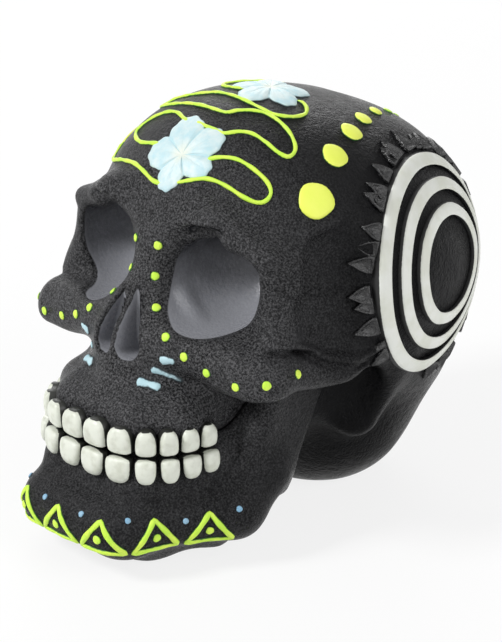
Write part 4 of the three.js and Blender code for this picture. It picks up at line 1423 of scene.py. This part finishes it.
teeth = {
    "archHalfWidth": 38.0,
    "archDepth": 46.5,
    "archMiddle": -45.5,
    "archPower": 0.65,
    "frontWidth": 12.8,
    "widthShares": (1, 0.91, 0.71, 0.65, 0.69, 0.65),
    "spacing": 0.45,
    "height": 11.1,
    "thickness": 8.0,
    "bite": 51.2,
    "biteGap": 2.0,
    "lowerProud": 1.5,
    "lowerHeight": 0.96,  # as a share of the upper ones
    "shrink": 0.03,  # share of the height that each tooth further back loses
    "rows": [(0.0, 0.84, 0.5), (0.02, 0.93, 0.66), (0.07, 0.98, 0.8), (0.2, 1.0, 0.92), (0.4, 1.0, 1.0),
             (0.6, 0.96, 1.0), (0.75, 0.87, 0.94), (0.87, 0.73, 0.84), (0.95, 0.54, 0.7),
             (1.0, 0.3, 0.5)],  # height, width and thickness, from the edge to the root
    "sides": 28,
    "squareness": 0.62,  # 1 is round
    "edgeBack": (0.03, 0.1),  # how far the biting edge draws back at its ends, and up to which height
    "paintFrom": (0.12, 0.25),  # where the front's cream begins, and how wide its rim is
    "paintTop": 0.97,
    "archSteps": 2001,
    "aim": 0.5,  # how far along the arch a tooth looks to find its direction
    "seed": 5,
    "least": 0.96,
    "most": 1.0,
}


# Biting edge at z = 0, root at z = 1, front along +y.
def toothShape():
    n, last = teeth["sides"], len(teeth["rows"]) - 1
    (back, backTo), (start, rim), power = teeth["edgeBack"], teeth["paintFrom"], teeth["squareness"]
    points, front, faces = [], [], []
    for height, wide, thick in teeth["rows"]:
        for i in range(n):
            turn = 2 * math.pi * i / n
            c, s = math.cos(turn), math.sin(turn)
            x = math.copysign(abs(c) ** power, c) * wide / 2
            y = math.copysign(abs(s) ** power, s) * thick / 2
            points.append((x, y, height + back * math.cos(turn * 2) * (height < backTo)))
            shown = min(max((s - start) / rim, 0), 1)
            front.append(shown * (0.0 if height > teeth["paintTop"] else 1.0))
    for row in range(last):
        faces += [quad(row, i, (i + 1) % n, n) for i in range(n)]
    faces.append([i for i in range(n)][::-1])
    faces.append([last * n + i for i in range(n)])
    shape = shapeFrom("tooth", points, faces)
    addValues(shape, "front", front)
    return shape


def toothSeats():
    turn = np.linspace(0, math.pi / 2, teeth["archSteps"])
    x = teeth["archHalfWidth"] * np.sin(turn) ** teeth["archPower"]
    y = teeth["archMiddle"] - teeth["archDepth"] * np.maximum(np.cos(turn), 0) ** teeth["archPower"]
    walked = np.concatenate([[0], np.cumsum(np.hypot(np.diff(x), np.diff(y)))])
    widths = np.array(teeth["widthShares"]) * teeth["frontWidth"]
    marks = np.cumsum(widths) - widths / 2
    both = (marks, marks + teeth["aim"])
    at, ahead = [np.stack([np.interp(m, walked, x), np.interp(m, walked, y)], 1) for m in both]
    along = ahead - at
    return at, along / np.linalg.norm(along, axis=1, keepdims=True), widths


def makeTeeth(name, upper):
    at, along, widths = toothSeats()
    points, facing, upright, spread = [], [], [], []
    for side in (1, -1):
        for i in range(len(widths)):
            out = np.array([along[i][1], -along[i][0]])
            place = at[i] + out * (0 if upper else teeth["lowerProud"])
            edge = teeth["bite"] + (1 if upper else -1) * teeth["biteGap"] / 2
            points.append((side * place[0], place[1], edge))
            upright.append((0, 0, 1 if upper else -1))
            outFacing = np.array([side * out[0], out[1], 0])
            facing.append(np.cross(outFacing, upright[-1]))
            tall = teeth["height"] * (1 - teeth["shrink"] * i) * (1 if upper else teeth["lowerHeight"])
            spread.append((widths[i] - teeth["spacing"], teeth["thickness"], tall))
    places, seed = (points, upright, facing, spread), teeth["seed"] + upper
    piece = stamped(name, toothShape(), places, teeth, seed, toothEnamel)
    word, count = "upper" if upper else "lower", len(widths)
    nodes = [f"{word}_tooth_{s}_{i + 1}" for s in ("left", "right") for i in range(count)]
    return finish(piece, nodes)


makeTeeth("upperTeeth", True)
makeTeeth("lowerTeeth", False)

# Floor, light and camera

studio = {
    "azimuth": 45.0,
    "elevation": 22.0,
    "distance": 2500 / 2.4,
    "target": (0, 0, 76),
    "focal": 2500.0,  # in pixels of the image's longer side
    "longerSide": 642,
    "sensor": 36.0,
    "floorHalf": 3.0,
    "floorColour": (0.92, 0.92, 0.92),
    "floorRoughness": 0.9,
    "floorSpecular": 0.1,
    "floorWhite": 0.82,  # share of the floor's look to the camera that is plain white
    "worldLight": 0.24,
    "lamps": [  # place, energy, size
        ((-0.6, -1.35, 1.35), 26.5, 0.45),
        ((-0.35, -1.45, 1.3), 3.0, 0.08),  # small, for the glints in the grain
        ((1.6, 0.2, 0.9), 14.0, 1.2),
        ((-1.2, 1.2, 1.0), 16.0, 1.2),
    ],
}


# 1 for what the camera sees straight, in a reflection or through glass, and 0 for light on the object.
def seenRays(tree):
    path = tree.nodes.new("ShaderNodeLightPath")
    seen = path.outputs["Is Camera Ray"]
    for label in ("Is Glossy Ray", "Is Transmission Ray"):
        either = tree.nodes.new("ShaderNodeMath")
        either.operation = "MAXIMUM"
        tree.links.new(seen, either.inputs[0])
        tree.links.new(path.outputs[label], either.inputs[1])
        seen = either.outputs[0]
    return seen


def makeFloor():
    h = studio["floorHalf"]
    mesh = bpy.data.meshes.new("floor")
    mesh.from_pydata([(-h, -h, 0), (h, -h, 0), (h, h, 0), (-h, h, 0)], [], [(0, 1, 2, 3)])
    floor = bpy.data.objects.new("floor", mesh)
    scene.collection.objects.link(floor)
    material, tree, shader = newFinish("pale floor", studio["floorRoughness"], studio["floorSpecular"])
    shader.inputs["Base Color"].default_value = (*studio["floorColour"], 1)
    white = tree.nodes.new("ShaderNodeEmission")
    mix = tree.nodes.new("ShaderNodeMixShader")
    tree.links.new(mixedNumber(tree, seenRays(tree), 0.0, studio["floorWhite"]), mix.inputs[0])
    tree.links.new(shader.outputs[0], mix.inputs[1])
    tree.links.new(white.outputs[0], mix.inputs[2])
    tree.links.new(mix.outputs[0], tree.nodes["Material Output"].inputs["Surface"])
    mesh.materials.append(material)


def makeWorld():
    world = bpy.data.worlds.new("studio")
    scene.world = world
    world.use_nodes = True
    tree = world.node_tree
    background = tree.nodes["Background"]
    background.inputs["Color"].default_value = (1, 1, 1, 1)
    level = mixedNumber(tree, seenRays(tree), studio["worldLight"], 1.0)
    tree.links.new(level, background.inputs["Strength"])


def makeLamps():
    target = Vector(toMetres(studio["target"]))
    for index, (place, energy, size) in enumerate(studio["lamps"]):
        lamp = bpy.data.lights.new(f"lamp{index + 1}", "AREA")
        lamp.energy, lamp.size = energy, size
        holder = bpy.data.objects.new(lamp.name, lamp)
        holder.location = place
        holder.rotation_euler = (Vector(place) - target).to_track_quat("Z", "Y").to_euler()
        scene.collection.objects.link(holder)


def makeCamera():
    turn, lift = math.radians(studio["azimuth"]), math.radians(studio["elevation"])
    back = Vector((math.sin(turn) * math.cos(lift), -math.cos(turn) * math.cos(lift), math.sin(lift)))
    target = Vector(toMetres(studio["target"]))
    data = bpy.data.cameras.new("photographer")
    data.sensor_width = studio["sensor"]
    data.lens = studio["sensor"] * studio["focal"] / studio["longerSide"]
    camera = bpy.data.objects.new("photographer", data)
    camera.location = target + back * studio["distance"] * millimetre
    camera.rotation_euler = back.to_track_quat("Z", "Y").to_euler()
    scene.collection.objects.link(camera)
    scene.camera = camera


makeFloor()
makeWorld()
makeLamps()
makeCamera()
print("sugar skull: floor, lamps and camera set")
